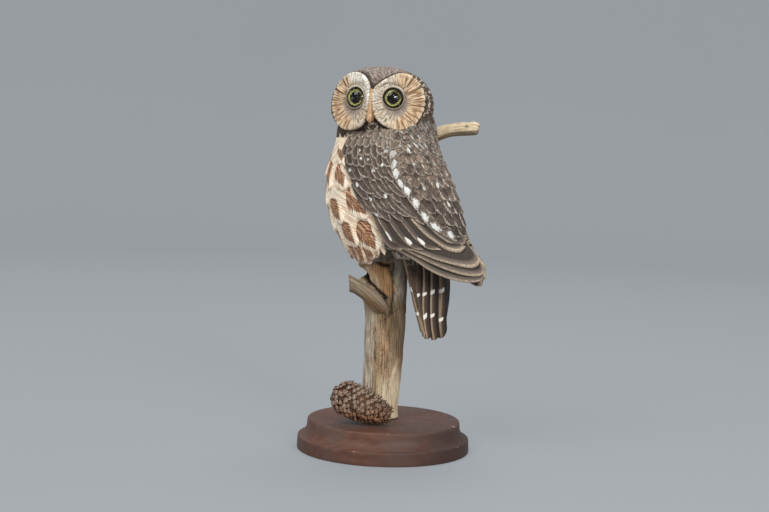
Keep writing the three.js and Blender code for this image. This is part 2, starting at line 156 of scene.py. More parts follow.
def grain(points, scale, seed=0):
    """Smooth noise from -1 to 1 at each point."""
    shift = Vector((seed * 7.3, seed * 3.1, seed * 5.7))
    return np.array([noise.noise(Vector(p) + shift) for p in (points * scale).tolist()])


# Surfaces of the bird, each a function of (turn, height) or of (side, height)

def round_body(turn, height, left, right, half):
    sin, cos = sin_cos(BODY_TURN)
    angle = np.radians(turn)
    edge = np.where(np.cos(angle) > 0, right - BODY_X, BODY_X - left)
    reach = np.sqrt(np.maximum(edge ** 2 - (half * sin) ** 2, 1)) / cos
    back, side = reach * np.cos(angle), half * np.sin(angle)
    return together(BODY_X + back * cos - side * sin, BODY_Y - back * sin - side * cos, height)


def torso(turn, height):
    return round_body(turn, height, *[read_table(TORSO, height, k) for k in (1, 2, 3)])


def wing_skin(turn, height):
    left = read_table(TORSO, height, 1) - 2.2
    right, half = read_table(WING, height, 1), read_table(WING, height, 2)
    above = np.maximum(height, WING_TOP)
    slimmer = read_table(TORSO, above, 3) - read_table(TORSO, WING_TOP, 3)
    shorter = read_table(TORSO, above, 2) - read_table(TORSO, WING_TOP, 2)
    return round_body(turn, height, left, right + shorter, half + slimmer)


def front_edge(height):
    return read_table(WING, height, 3)


def tail_sheet(side, height):
    t = (TAIL_TOP[2] - height) / (TAIL_TOP[2] - TAIL_TIP[2])
    sink = np.where(side > 0, TAIL_ARCH, TAIL_ARCH_FAR) * side ** 2
    sin, cos = sin_cos(TAIL_TURN)
    return together(mix(TAIL_TOP[0], TAIL_TIP[0], t) - side * cos - sink * sin,
                    mix(TAIL_TOP[1], TAIL_TIP[1], t) - side * sin + sink * cos, height)


def lifted(surface, u, height, lift):
    """Points of a surface, raised along its normal."""
    across = surface(u + 0.5, height) - surface(u - 0.5, height)
    up = surface(u, height + 0.5) - surface(u, height - 0.5)
    return surface(u, height) + unit(np.cross(up, across)) * np.asarray(lift)[..., None]


# Meshes

def grid_faces(rows, cols, first=0, closed=False):
    """Quads of a grid of points, row by row; closed joins the last column to the first."""
    faces = []
    for i in range(rows - 1):
        for j in range(cols if closed else cols - 1):
            a, b = first + i * cols + j, first + i * cols + (j + 1) % cols
            faces.append((a, b, b + cols, a + cols))
    return faces


def turned_out(points, faces):
    """The faces, turned over if they point in."""
    total = 0.0
    for face in faces:
        a = points[face[0]]
        for k in range(1, len(face) - 1):
            total += np.dot(a, np.cross(points[face[k]], points[face[k + 1]]))
    return faces if total > 0 else [face[::-1] for face in faces]


def linked(name, data):
    """An object of the scene that shows the data."""
    obj = bpy.data.objects.new(name, data)
    bpy.context.scene.collection.objects.link(obj)
    return obj


def corner_points(mesh):
    """The number of the point at each corner of a mesh."""
    corner = np.zeros(len(mesh.loops), np.int32)
    mesh.loops.foreach_get("vertex_index", corner)
    return corner


def put_values(mesh, key, values):
    """Keeps three numbers at each corner of a mesh under a name."""
    layer = mesh.attributes.new(key, "FLOAT_VECTOR", "CORNER")
    layer.data.foreach_set("vector", np.asarray(values, np.float32).ravel())


def new_object(name, points, faces, data=None, slot=0, materials=()):
    """An object from points in millimetres, with named values at each point kept on its corners."""
    mesh = bpy.data.meshes.new(name)
    mesh.from_pydata((np.asarray(points) * MM).tolist(), [], faces)
    for material in materials:
        mesh.materials.append(material)
    corner = corner_points(mesh)
    for key, values in (data or {}).items():
        put_values(mesh, key, values[corner])
    mesh.polygons.foreach_set("material_index", np.full(len(mesh.polygons), slot, np.int32))
    mesh.polygons.foreach_set("use_smooth", np.ones(len(mesh.polygons), bool))
    return linked(name, mesh)


def loft(name, rings, data=None, slot=0, materials=()):
    """A closed object from rings of points, with a fan over each end."""
    rows, cols = rings.shape[:2]
    points = rings.reshape(-1, 3)
    faces = grid_faces(rows, cols, closed=True)
    caps = [rings[0].mean(0), rings[-1].mean(0)]
    first, last = rows * cols, rows * cols + 1
    faces += [(first, (k + 1) % cols, k) for k in range(cols)]
    faces += [(last, first - cols + k, first - cols + (k + 1) % cols) for k in range(cols)]
    points = np.concatenate([points, caps])
    values = {}
    for key, value in (data or {}).items():
        flat = value.reshape(-1, 3)
        values[key] = np.concatenate([flat, [value[0].mean(0), value[-1].mean(0)]])
    return new_object(name, points, turned_out(points, faces), values, slot, materials)


def combined(name, base, others, operation):
    """One mesh from a base and many closed parts; the parts are used up."""
    parts = bpy.data.collections.new(name + "_parts")
    bpy.context.scene.collection.children.link(parts)
    for obj in others:
        parts.objects.link(obj)
    change = base.modifiers.new(operation, "BOOLEAN")
    change.operation, change.solver = operation, "MANIFOLD"
    change.operand_type, change.collection = "COLLECTION", parts
    graph = bpy.context.evaluated_depsgraph_get()
    mesh = bpy.data.meshes.new_from_object(base.evaluated_get(graph))
    mesh.name = name
    for obj in [base, *others]:
        bpy.data.objects.remove(obj)
    bpy.data.collections.remove(parts)
    return linked(name, mesh)


def sphere(name, centre, radius):
    polar = np.linspace(0, math.pi, 33)[1:-1, None]
    roll = circle(48)[None, :]
    ring = together(np.sin(polar) * np.cos(roll), np.sin(polar) * np.sin(roll), np.cos(polar))
    return loft(name, centre + radius * ring)


def spun(profile, count):
    """Rings of a (radius, height) profile turned round the upright axis."""
    turn = circle(count)
    return together(profile[:, :1] * np.cos(turn), profile[:, :1] * np.sin(turn), profile[:, 1:])


# Materials

def linear(red, green, blue):
    """A colour given as 0 to 255 in sRGB, as the shader wants it."""
    def one(value):
        value /= 255
        return value / 12.92 if value <= 0.04045 else ((value + 0.055) / 1.055) ** 2.4
    return (one(red), one(green), one(blue), 1.0)


class Value:
    """A number or colour inside a node tree, open to plain arithmetic."""

    def __init__(self, paint, socket):
        self.paint, self.socket = paint, socket

    def __add__(self, other):
        return self.paint.math("ADD", self, other)

    def __radd__(self, other):
        return self.paint.math("ADD", other, self)

    def __sub__(self, other):
        return self.paint.math("SUBTRACT", self, other)

    def __rsub__(self, other):
        return self.paint.math("SUBTRACT", other, self)

    def __mul__(self, other):
        return self.paint.math("MULTIPLY", self, other)

    def __truediv__(self, other):
        return self.paint.math("DIVIDE", self, other)

    def __pow__(self, other):
        return self.paint.math("POWER", self, other)

    def __abs__(self):
        return self.paint.math("ABSOLUTE", self)

    def at_least(self, other):
        return self.paint.math("MAXIMUM", self, other)

    def step(self, low, high):
        """0 below low and 1 above high, eased between."""
        node = self.paint.nodes.new("ShaderNodeMapRange")
        node.interpolation_type = "SMOOTHSTEP"
        return self.paint.fed(node, self, low, high)

    def near(self, centre, reach):
        """1 at centre, falling to 0 at reach from it."""
        return 1 - abs(self - centre).step(0, reach)


class Paint:
    """One material's node tree. Three plain numbers are a colour, 0 to 255 in sRGB."""

    def __init__(self, name, roughness=0.7, specular=0.3):
        self.material = bpy.data.materials.new(name)
        self.material.use_nodes = True
        tree = self.material.node_tree
        self.nodes, self.links = tree.nodes, tree.links
        self.shader = self.nodes["Principled BSDF"]
        self.shader.inputs["Roughness"].default_value = roughness
        self.shader.inputs["Specular IOR Level"].default_value = specular

    def put(self, socket, value):
        if isinstance(value, Value):
            self.links.new(value.socket, socket)
        else:
            socket.default_value = linear(*value) if isinstance(value, tuple) else value

    def fed(self, node, *values):
        """A node's output, with the values put on its first inputs."""
        for socket, value in zip(node.inputs, values):
            self.put(socket, value)
        return Value(self, node.outputs[0])

    def math(self, operation, *values):
        node = self.nodes.new("ShaderNodeMath")
        node.operation = operation
        return self.fed(node, *values)

    def split(self, vector):
        """The three numbers of a vector."""
        node = self.nodes.new("ShaderNodeSeparateXYZ")
        self.put(node.inputs[0], vector)
        return [Value(self, output) for output in node.outputs]

    def values(self, name):
        """The three numbers that a mesh carries under a name."""
        node = self.nodes.new("ShaderNodeAttribute")
        node.attribute_name = name
        return self.split(Value(self, node.outputs["Vector"]))

    def place(self):
        """The point's place in millimetres, as a vector and its three numbers."""
        coordinate = self.nodes.new("ShaderNodeTexCoord")
        scaled = self.nodes.new("ShaderNodeVectorMath")
        scaled.operation = "SCALE"
        self.links.new(coordinate.outputs["Object"], scaled.inputs[0])
        scaled.inputs["Scale"].default_value = 1 / MM
        place = Value(self, scaled.outputs[0])
        return place, *self.split(place)

    def vector(self, x, y, z=0.0):
        return self.fed(self.nodes.new("ShaderNodeCombineXYZ"), x, y, z)

    def noise(self, vector, scale, detail=3.0, rough=0.55):
        node = self.nodes.new("ShaderNodeTexNoise")
        for name, value in (("Vector", vector), ("Scale", scale), ("Detail", detail), ("Roughness", rough)):
            self.put(node.inputs[name], value)
        return Value(self, node.outputs[0])

    def blend(self, share, a, b):
        node = self.nodes.new("ShaderNodeMix")
        node.data_type = "RGBA"
        for number, value in ((0, share), (6, a), (7, b)):
            self.put(node.inputs[number], value)
        return Value(self, node.outputs[2])

    def coated(self, colour, *coats):
        """A colour with coats over it, each given as its share and its own colour."""
        for share, coat in coats:
            colour = self.blend(share, colour, coat)
        return colour

    def ramp(self, value, stops):
        node = self.nodes.new("ShaderNodeValToRGB")
        row = node.color_ramp.elements
        while len(row) < len(stops):
            row.new(0.5)
        for element, (place, colour) in zip(row, stops):
            element.position, element.color = place, linear(*colour)
        return self.fed(node, value)

    def finish(self, colour, bump=None, height=0.3, strength=0.6):
        """Sets the colour and a bump whose height is in millimetres."""
        self.put(self.shader.inputs["Base Color"], colour)
        if bump is not None:
            node = self.nodes.new("ShaderNodeBump")
            node.inputs["Strength"].default_value = strength
            node.inputs["Distance"].default_value = height * MM
            self.put(node.inputs["Height"], bump)
            self.links.new(node.outputs[0], self.shader.inputs["Normal"])
        return self.material


def barbs(paint, along, across, length, width):
    """Fine lines that run out from a feather's shaft towards its tip, from 0 to 1."""
    out = abs(across)
    run = along * length - out * width
    return paint.noise(paint.vector(run * 1.1, out * 0.7, paint.math("SIGN", across)), 1, 2, 0.6)


def away(paint, a, b):
    """The length of the way a along and b across."""
    return paint.math("SQRT", a ** 2 + b ** 2)


def from_spot(paint, along, across, wide):
    """How far a point is from the middle of its feather's white spot, 1 at the spot's edge."""
    spot_along, spot_across, long = paint.values("spot")
    down = (along - spot_along) / long.at_least(0.01)
    girth = (wide * (1 + down * 0.5)).at_least(0.02)
    return away(paint, down, (across - spot_across) / girth)


def scale_paint():
    """Dark brown scale feathers with thin pale edges, white spots and a mottled mantle."""
    p = Paint("wing_feathers", 0.75, 0.25)
    along, across, shaded_side = p.values("feather")
    strength, edge, tone = p.values("mark")
    rim, mottle, wide = p.values("rim")
    place = p.place()[0]
    fine = p.noise(place, 0.75, 4, 0.65)
    broad = p.noise(place, 0.19, 4, 0.65)
    lines = barbs(p, along, across, 20, 7)
    dark = p.blend(tone, (54, 45, 39), (156, 140, 125))
    brown = p.blend(fine.step(0.42, 0.62) * 0.5, dark, (140, 125, 111))
    brown = p.blend(lines.step(0.45, 0.65) * 0.55, brown, (42, 34, 29))
    tan = p.blend(fine.step(0.42, 0.58), (166, 145, 126), (96, 79, 67))
    brown = p.blend(broad.step(0.46, 0.56) * mottle, brown, tan)
    deep = (1 - broad.step(0.38, 0.46)) * mottle
    brown = p.blend(deep * 0.8, brown, (58, 46, 39))
    worn = rim + (fine - 0.5) * 1.1
    # Painted shade: each feather is darkened on its shaded side, which the next feather overlaps, and at its
    # root under the row above.
    shade = (across * shaded_side).step(-0.35, 0.5) * abs(shaded_side)
    shade = shade.at_least((1 - along.step(0.3, 0.6)) * 0.7)
    brown = p.blend(shade * 0.6, brown, (44, 36, 31))
    margin = (1 - worn.step(0.15, edge + 0.3)) * edge.step(0, 0.5)
    patchy = 0.6 + p.noise(place, 0.32, 2, 0.6).step(0.4, 0.6) * 0.5
    margin = margin * (patchy * (1 - shade * 0.6))
    colour = p.blend(margin, brown, p.blend(lines.step(0.4, 0.62), (226, 212, 194), (146, 130, 114)))
    flecks = p.noise(place, 0.8, 2, 0.5).step(0.6, 0.68) * (1 - rim.step(0.4, 1.6))
    colour = p.blend(flecks * 0.75, colour, (214, 207, 195))
    shaft = across.near(0, 0.1) * along.step(0.25, 0.4)
    colour = p.blend(shaft * 0.45, colour, (45, 35, 30))
    gone = from_spot(p, along, across, wide)
    ragged = gone + (lines - 0.5) * 2 + (fine - 0.5) * 1.8
    white = (1 - ragged.step(0.6, 1.1)) * strength
    colour = p.blend(white, colour, p.blend(lines.step(0.45, 0.65), (236, 235, 228), (190, 190, 182)))
    height = lines * 0.8 + fine * 0.5
    return p.finish(colour, height, 0.4, 0.8)


def flight_paint():
    """Long feathers of wing and tail: dark brown, tan along one edge, white marks."""
    p = Paint("flight_feathers", 0.7, 0.3)
    along, across, shaded_side = p.values("feather")
    strength, edge, tone = p.values("mark")
    rim, side, wide = p.values("rim")
    place = p.place()[0]
    fine = p.noise(place, 1.3, 3, 0.6)
    lines = barbs(p, along, across, 45, 7)
    dark = p.blend(tone, (66, 54, 45), (116, 104, 94))
    brown = p.blend(lines.step(0.35, 0.7), dark, (90, 77, 67))
    brown = p.blend(fine.step(0.5, 0.75) * 0.4, brown, (124, 109, 97))
    lit = (across * side).step(0.05, 0.3)
    # Painted shade: darker on the shaded side, which the next feather overlaps.
    shade = (across * shaded_side).step(-0.55, 0.1) * abs(shaded_side)
    brown = p.blend(shade * 0.7, brown, (36, 29, 25))
    # Where a plate has no shaded side, the half away from its tan edge is darkened: partly a painted dark
    # line, partly painted shade under the edge of the feather above.
    under = (1 - (across * side).step(0, 0.4)) * (1 - abs(shaded_side))
    brown = p.blend(under * 0.75, brown, (44, 36, 31))
    worn = rim + (lines - 0.5) * 1.5
    margin = (1 - worn.step(edge * 0.7, edge * 1.3)) * (lit * edge.step(0, 0.3))
    soft = (1 - worn.step(edge, edge * 2.6)) * (lit * 0.5)
    brown = p.blend(soft, brown, (146, 132, 118))
    colour = p.blend(margin * 0.9, brown,
                     p.blend(fine.step(0.4, 0.6), (150, 128, 104), (214, 195, 168)))
    shaft = across.near(0, 0.07)
    colour = p.blend(shaft * 0.5, colour, (46, 35, 28))
    gone = from_spot(p, along, across, wide)
    ragged = gone + (lines - 0.5) * 0.9
    white = (1 - ragged.step(0.7, 1.1)) * strength
    colour = p.blend(white, colour, (236, 232, 222))
    return p.finish(colour, lines * 0.8 + shaft * 0.5, 0.35, 0.7)


def tail_paint():
    """Tail feathers: brown that darkens to near black as painted shade towards the side under the next
    feather, a tan edge and two rows of white notches.
    """
    p = Paint("tail_feathers", 0.65, 0.3)
    along, across, _ = p.values("feather")
    _, edge, _ = p.values("mark")
    first, last, _ = p.values("spot")
    place = p.place()[0]
    fine = p.noise(place, 1.3, 3, 0.6)
    lines = barbs(p, along, across, 60, 5)
    # Painted shade: each feather darkens towards its side that the next feather covers.
    brown = p.blend(across.step(-0.7, 0.3), (79, 62, 50), (32, 25, 22))
    brown = p.blend(lines.step(0.4, 0.7) * 0.35, brown, (70, 58, 50))
    left = 1 - ((across + 1) * 4.2 + (fine - 0.5) * 0.9).step(0.35, 1.05)
    colour = p.blend(left * (edge * 0.9), brown, (166, 143, 118))
    white = 0.0
    for at in (first, last):
        down = (along - at) * 66 + (across + 1) * 2.6
        notch = (down + (lines - 0.5) * 1.5).near(1.2, 2.6) * (1 - across.step(-0.5, -0.15))
        white = notch.step(0.25, 0.55).at_least(white)
    colour = p.blend(white * edge.step(0.2, 0.6), colour, (238, 230, 218))
    return p.finish(colour, lines * 0.8 + fine, 0.35, 0.7)


def breast_paint():
    """Cream leaf feathers, each with a pointed rufous middle."""
    p = Paint("breast_feathers", 0.75, 0.25)
    along, across, own = p.values("feather")
    _, plain, _ = p.values("mark")
    _, side, _ = p.values("rim")
    place, _, _, z = p.place()
    fine = p.noise(place, 1.2, 3, 0.6)
    lines = barbs(p, along, across, 26, 8)
    cream = p.blend(lines.step(0.38, 0.54), (212, 170, 132), (255, 243, 222))
    cream = p.blend(fine.step(0.5, 0.7) * 0.4, cream, (226, 190, 152))
    rusty = (1 - z.step(139, 153)) * p.noise(place, 0.25, 3, 0.6).step(0.42, 0.58)
    cream = p.blend(rusty * 0.75, cream, (176, 116, 80))
    vein = p.noise(p.vector(across * 5.5, along * 3.5, own), 1, 3, 0.65)
    warm = p.noise(p.vector(across * 1.1, along * 2.2, own), 1, 2, 0.5).step(0.4, 0.6)
    rufous = p.blend(lines.step(0.4, 0.56), (112, 72, 50),
                     p.blend(warm, (164, 128, 104), (194, 140, 102)))
    rufous = p.coated(
        rufous, (vein.step(0.52, 0.6) * 0.7, (84, 58, 45)),
        ((1 - vein.step(0.38, 0.45)) * 0.75, (236, 198, 160)))
    offset = across + side * 0.1
    bow = (abs(along - 0.52) / 0.45) ** 1.3
    waist = (1 - bow).at_least(0.02)
    lens = abs(offset) / (waist * 0.95)
    ragged = lens + (lines - 0.5) * 1.3
    middle = (1 - ragged.step(0.8, 1.12)) * (1 - plain.step(0.4, 0.6))
    middle = middle * (along.step(0.02, 0.08) * (1 - along.step(0.92, 0.98)))
    colour = p.blend(middle, cream, rufous)
    shaft = across.near(0, 0.09) * middle * 0.5
    colour = p.blend(shaft, colour, (84, 54, 40))
    return p.finish(colour, lines * 0.9 + fine * 0.4, 0.4, 0.8)


def head_paint():
    """Brown head with fine streaks that run back from the face, and pale dashes at its sides."""
    p = Paint("head_feathers", 0.75, 0.25)
    back, roll, crown = p.values("feather")
    place = p.place()[0]
    reach, angle, _ = p.values("mark")
    hair = p.noise(p.vector(back * 0.3, roll * 1.7), 1, 3, 0.65)
    dash = p.noise(p.vector(back * 0.95, roll * 0.3, 4), 1, 1.5, 0.5)
    ring = p.noise(p.vector(reach * 9, angle * 0.24, 2), 1, 1.5, 0.5)
    fine = p.noise(place, 1.4, 3, 0.6)
    side = p.blend(hair.step(0.38, 0.6), (40, 30, 25), (104, 86, 74))
    top = p.blend(hair.step(0.43, 0.57), (58, 46, 40), (180, 163, 151))
    colour = p.blend(crown, side, top)
    around = reach.step(1.02, 1.1) * (1 - reach.step(1.45, 1.7))
    pale = (dash + (fine - 0.5) * 0.15).step(0.56, 0.62) * (1 - around)
    pale = pale.at_least(ring.step(0.53, 0.6) * around)
    pale = pale * (1 - crown)
    # Painted shade: a near black band round the rims of the discs, which stand over the head.
    colour = p.coated(
        colour, (pale * 0.85, (204, 190, 170)), ((1 - reach.step(1.02, 1.12)) * 0.8, (40, 30, 25)))
    return p.finish(colour, hair + fine * 0.4, 0.5, 0.9)


def disc_paint():
    """A facial disc: cream towards the bill, tan and deeply grooved on its outer side."""
    p = Paint("facial_disc", 0.75, 0.25)
    reach, turn, groove = p.values("feather")
    outer, brow, eye_shade = p.values("mark")
    hair = p.noise(p.vector(turn * 95, reach * 4.5), 1, 3, 0.6)
    lock = p.noise(p.vector(turn * 26, reach * 2, 3), 1, 2, 0.5)
    place = p.place()[0]
    fine = p.noise(place, 1.2, 3, 0.6)
    cream = p.blend(hair.step(0.38, 0.58), (128, 110, 90), (222, 208, 186))
    cream = p.blend(lock.step(0.5, 0.68) * 0.55, cream, (196, 166, 136))
    white = p.blend(hair.step(0.36, 0.56), (170, 158, 140), (244, 238, 224))
    cream = p.blend(brow, cream, white)
    tan = p.blend(hair.step(0.38, 0.58), (138, 102, 70), (228, 202, 168))
    tan = p.coated(
        tan, (lock.step(0.45, 0.62) * 0.6, (180, 142, 106)), (reach.step(0.86, 1) * 0.7, (226, 204, 172)))
    colour = p.blend(outer, cream, tan)
    # Painted shade: dark brown in the grooves, and grey round the eye and in the fold above it.
    colour = p.coated(
        colour, (groove * 0.95, (88, 58, 36)), (eye_shade * 0.7, (128, 116, 106)),
        (fine.step(0.5, 0.8) * 0.3, (150, 130, 108)))
    return p.finish(colour, hair * 1.2 + fine * 0.3, 0.45, 0.9)


def lid_paint():
    """Pale lid above the eye, greyer below, near black against the glass, with a painted shadow line along
    its upper outer edge and painted shade on its inner side.
    """
    p = Paint("lids", 0.6, 0.3)
    above, inner, line = p.values("feather")
    place = p.place()[0]
    fine = p.noise(place, 1.5, 3, 0.6)
    pale = p.blend(fine.step(0.35, 0.6), (150, 134, 114), (226, 214, 194))
    low = p.blend(fine.step(0.35, 0.65), (112, 98, 84), (178, 160, 138))
    colour = p.blend(above, low, pale)
    # Painted shadow along the lid's upper outer edge, and painted shade on its inner half towards the glass;
    # the near black ring against the glass is paint.
    colour = p.coated(
        colour, (line * 0.85, (78, 68, 60)), (inner.step(0.45, 0.75) * (0.7 - above * 0.3), (84, 72, 60)),
        (inner.step(0.84, 0.97), (24, 20, 15)))
    return p.finish(colour, fine, 0.2, 0.5)


def bill_paint():
    """Horn, lighter on its near side and darker at the tip, with painted shade on the side that faces +x."""
    p = Paint("bill", 0.5, 0.4)
    down, turn, _ = p.values("feather")
    place = p.place()[0]
    fine = p.noise(place, 0.9, 3, 0.6)
    streak = p.noise(p.vector(turn * 2.2, down * 3), 1, 3, 0.6)
    horn = p.blend(fine.step(0.35, 0.65), (166, 126, 86), (206, 172, 134))
    horn = p.coated(
        horn, ((turn * -1).step(0.1, 0.8) * streak.step(0.4, 0.6), (232, 206, 168)),
        (down.step(0.8, 1) * 0.5, (120, 84, 50)))
    # Painted shade: the side of the bill that faces +x, against the disc there, is darkened.
    colour = p.blend(turn.step(0.35, 0.8) * 0.75, horn, (104, 68, 40))
    return p.finish(colour, fine, 0.2, 0.4)


def core_paint():
    """The dark ground that shows between feathers and under the bird."""
    p = Paint("ground_paint", 0.8, 0.2)
    place, x, y, z = p.place()
    fine = p.noise(place, 1, 4, 0.65)
    pale = p.noise(place, 0.5, 2, 0.6)
    colour = p.blend(fine.step(0.3, 0.7), (52, 41, 34), (98, 82, 70))
    colour = p.blend(pale.step(0.56, 0.66) * z.step(132, 136) * 0.6, colour, (142, 124, 106))
    salt = p.noise(p.vector(x, y, z * 0.5), 0.6, 2, 0.6).step(0.44, 0.58)
    salt = salt * ((1 - z.step(146, 151)) * z.step(134, 137))
    colour = p.blend(salt * 0.7, colour, (164, 155, 144))
    return p.finish(colour, fine, 0.4, 0.7)


def driftwood_paint():
    """Bare weathered wood: grey and tan streaks along the grain, a cut face, dark cracks."""
    p = Paint("driftwood", 0.85, 0.2)
    along, around, radius = p.values("grain")
    cut, grey, crack = p.values("zone")
    light, knot, pale_grey = p.values("tint")
    place, x, _, z = p.place()
    fibre = p.noise(p.vector(around * 0.7, along * 0.05, radius), 1, 4, 0.6)
    strand = p.noise(p.vector(around * 1.25, along * 0.06, radius), 1, 3, 0.65)
    band = p.noise(p.vector(around * 0.16, along * 0.012, 3), 1, 2, 0.5)
    cross = p.noise(p.vector(around * 0.3, along * 1.1, 7), 1, 3, 0.6)
    fine = p.noise(place, 1.3, 3, 0.6)
    colour = p.ramp(fibre,
                    [(0.28, (112, 92, 68)), (0.44, (144, 122, 95)), (0.58, (168, 147, 118)),
                     (0.75, (196, 178, 150))])
    colour = p.blend(band.step(0.48, 0.62) * 0.4, colour, (150, 140, 126))
    middle = x.near(-1, 10) * (z.step(38, 56) * (1 - z.step(96, 110)))
    colour = p.coated(
        colour, (middle * 0.75, p.blend(strand.step(0.42, 0.58), (86, 61, 38), (190, 154, 114))),
        # light: pale wood, and painted light on the tops of the upper branch; knot: dark knotty wood, and
        # painted shade under the upper branch.
        (light * strand.step(0.34, 0.56), (228, 208, 174)),
        (knot * 0.85, p.blend(strand.step(0.42, 0.58), (58, 45, 31), (113, 93, 69))),
        (pale_grey * 0.85, p.blend(strand.step(0.4, 0.6), (126, 116, 102), (214, 203, 186))))
    rust = p.noise(place, 0.09, 3, 0.6).step(0.52, 0.66) * 0.45
    colour = p.blend(rust * strand.step(0.3, 0.6), colour, (142, 98, 58))
    greyed = p.blend(fibre.step(0.35, 0.7), (110, 98, 84), (180, 165, 145))
    squiggle = p.noise(place, 0.42, 2, 0.6).near(0.5, 0.025)
    greyed = p.blend(squiggle * 0.45, greyed, (176, 170, 160))
    colour = p.blend(grey, colour, greyed)
    face = p.blend(strand.step(0.35, 0.62), (106, 76, 48), (160, 124, 88))
    hatch = middle * 0.6 + 0.2
    # crack: dark cracks, and painted shade in the notch under the block.
    colour = p.coated(
        colour, (cut, face), (strand.step(0.6, 0.72) * 0.4, (92, 74, 54)),
        (cross.step(0.54, 0.64) * hatch, (84, 60, 38)), (crack, (30, 22, 16)))
    height = fibre + strand * 0.6 + fine * 0.25
    return p.finish(colour, height, 0.5, 0.8)


def cone_paint():
    """Dry cone scales: grey-brown lips, rusty below, dark between and at the prickles."""
    p = Paint("pine_cone", 0.75, 0.3)
    along, _, own = p.values("scale")
    place, x, _, z = p.place()
    fine = p.noise(place, 1.5, 4, 0.65)
    lip = p.blend(fine.step(0.4, 0.6), (80, 60, 47), (180, 159, 143))
    lip = p.blend(own.step(0.45, 0.8) * 0.5, lip, (128, 92, 66))
    rusty = p.blend(fine.step(0.4, 0.6), (88, 54, 34), (176, 126, 92))
    low = 1 - (z + x * -0.1 + own * 9).step(33, 46)
    colour = p.blend(low, lip, rusty)
    colour = p.coated(
        colour, (x.step(-7, 4) * 0.6, p.blend(fine, (36, 28, 24), (110, 90, 76))),
        (1 - along.step(0.2, 0.4), (92, 64, 46)), (along.step(0.76, 0.86), (34, 28, 25)))
    return p.finish(colour, fine, 0.4, 0.7)


def base_paint():
    """Satin reddish dark brown wood with a fine grain and small light nicks."""
    p = Paint("turned_base", 0.5, 0.22)
    place, x, y, z = p.place()
    fibre = p.noise(p.vector(x * 0.03, y * 0.35, z * 0.2), 1, 4, 0.6)
    pore = p.noise(p.vector(x * 0.1, y * 1.6, z * 0.8), 1, 2, 0.6)
    cloud = p.noise(place, 0.035, 3, 0.6)
    colour = p.ramp(fibre, [(0.3, (84, 54, 44)), (0.5, (100, 68, 56)), (0.72, (112, 79, 66))])
    colour = p.coated(
        colour, (pore.step(0.6, 0.72) * 0.25, (64, 44, 38)),
        (cloud.step(0.42, 0.62) * 0.65, (94, 77, 69)),
        # Painted shade: darker towards +x, less so on the top.
        (x.step(-10, 60) * (0.7 - z.step(18, 21.5) * 0.35), (50, 38, 34)),
        ((1 - z.step(8.8, 9.8)) * 0.3, (56, 36, 30)))
    # Painted shadow: a greyer patch on the top, front left of the trunk, under the cone's raised end.
    far = away(p, x + 12, (y + 18) * 1.3)
    cone_shadow = (1 - (far + cloud * 14).step(20, 38)) * z.step(21, 21.9)
    colour = p.blend(cone_shadow * 0.55, colour, (98, 92, 84))
    edge = z.near(9.3, 0.8) + z.near(21.6, 0.9)
    nick = edge * p.noise(place, 0.3, 2, 0.6).step(0.66, 0.7)
    colour = p.blend(nick * 0.7, colour, (178, 150, 136))
    p.put(p.shader.inputs["Roughness"], 0.42 + cloud * 0.2)
    return p.finish(colour, pore + fibre, 0.12, 0.4)


def iris_paint():
    """Painted back of a glass eye: black pupil, yellow-green iris, dark rim."""
    p = Paint("iris", 0.8, 0.02)
    reach, turn, shaded = p.values("feather")
    ray = p.noise(p.vector(turn * 20, reach * 0.6), 1, 3, 0.6)
    fleck = (ray - 0.5) * 0.35
    colour = p.ramp(reach + fleck * 0.3,
                    [(0.4, (5, 5, 6)), (0.43, (70, 70, 26)), (0.48, (150, 146, 66)),
                     (0.54, (212, 206, 130)), (0.6, (172, 166, 96)), (0.65, (30, 28, 14))])
    colour = p.blend(shaded * 0.72, colour, (52, 50, 28))
    return p.finish(colour)


def glass_paint():
    """Clear glass."""
    p = Paint("eye_glass", 0.03, 0.5)
    p.shader.inputs["Base Color"].default_value = (1, 1, 1, 1)
    p.shader.inputs["Transmission Weight"].default_value = 1.0
    p.shader.inputs["IOR"].default_value = 1.45
    return p.material


# View and light

# In metres: where the lamps point, and the floor's radius and height
LIT_PLACE = (0, 0, 0.17)
FLOOR_PROFILE = [[0.001, 0], [1.6, 0], [2.2, 0], [2.5, 0.08], [2.72, 0.3], [2.8, 0.6], [2.8, 1.6]]


def place_camera():
    """The camera of the photograph, as far as its picture tells."""
    data = bpy.data.cameras.new("camera")
    data.sensor_width = 36
    data.lens = data.sensor_width * FOCAL_PIXELS / IMAGE_WIDTH
    camera = linked("camera", data)
    pitch = Matrix.Rotation(math.radians(90 - CAMERA_PITCH), 4, "X")
    roll = Matrix.Rotation(math.radians(CAMERA_ROLL), 4, "Z")
    camera.matrix_world = Matrix.Translation(CAMERA_PLACE) @ pitch @ roll
    bpy.context.scene.camera = camera


def add_light(name, place, size, power, colour=(1, 1, 1)):
    data = bpy.data.lights.new(name, "AREA")
    data.shape, data.size, data.energy, data.color = "DISK", size, power, colour
    light = linked(name, data)
    light.location = place
    light.rotation_euler = (Vector(LIT_PLACE) - Vector(place)).to_track_quat("-Z", "Y").to_euler()


def light_studio():
    add_light("key", (-1.4, -1.8, 2.4), 2.3, 54, (1, 0.985, 0.96))
    add_light("side", (-1.9, -0.7, 0.1), 1.2, 8, (1, 0.97, 0.93))
    add_light("fill", (1.7, -2.0, 0.7), 1.6, 18, (0.97, 0.98, 1))
    add_light("eye_light", (0.5, -1.15, 0.66), 0.45, 8)
    add_light("top", (0.2, 0.9, 2.6), 1.6, 36)
    world = bpy.data.worlds.new("studio")
    world.use_nodes = True
    back = world.node_tree.nodes["Background"]
    back.inputs["Color"].default_value = linear(186, 192, 199)
    back.inputs["Strength"].default_value = 0.44
    bpy.context.scene.world = world
    bpy.context.scene.view_settings.view_transform = "Standard"


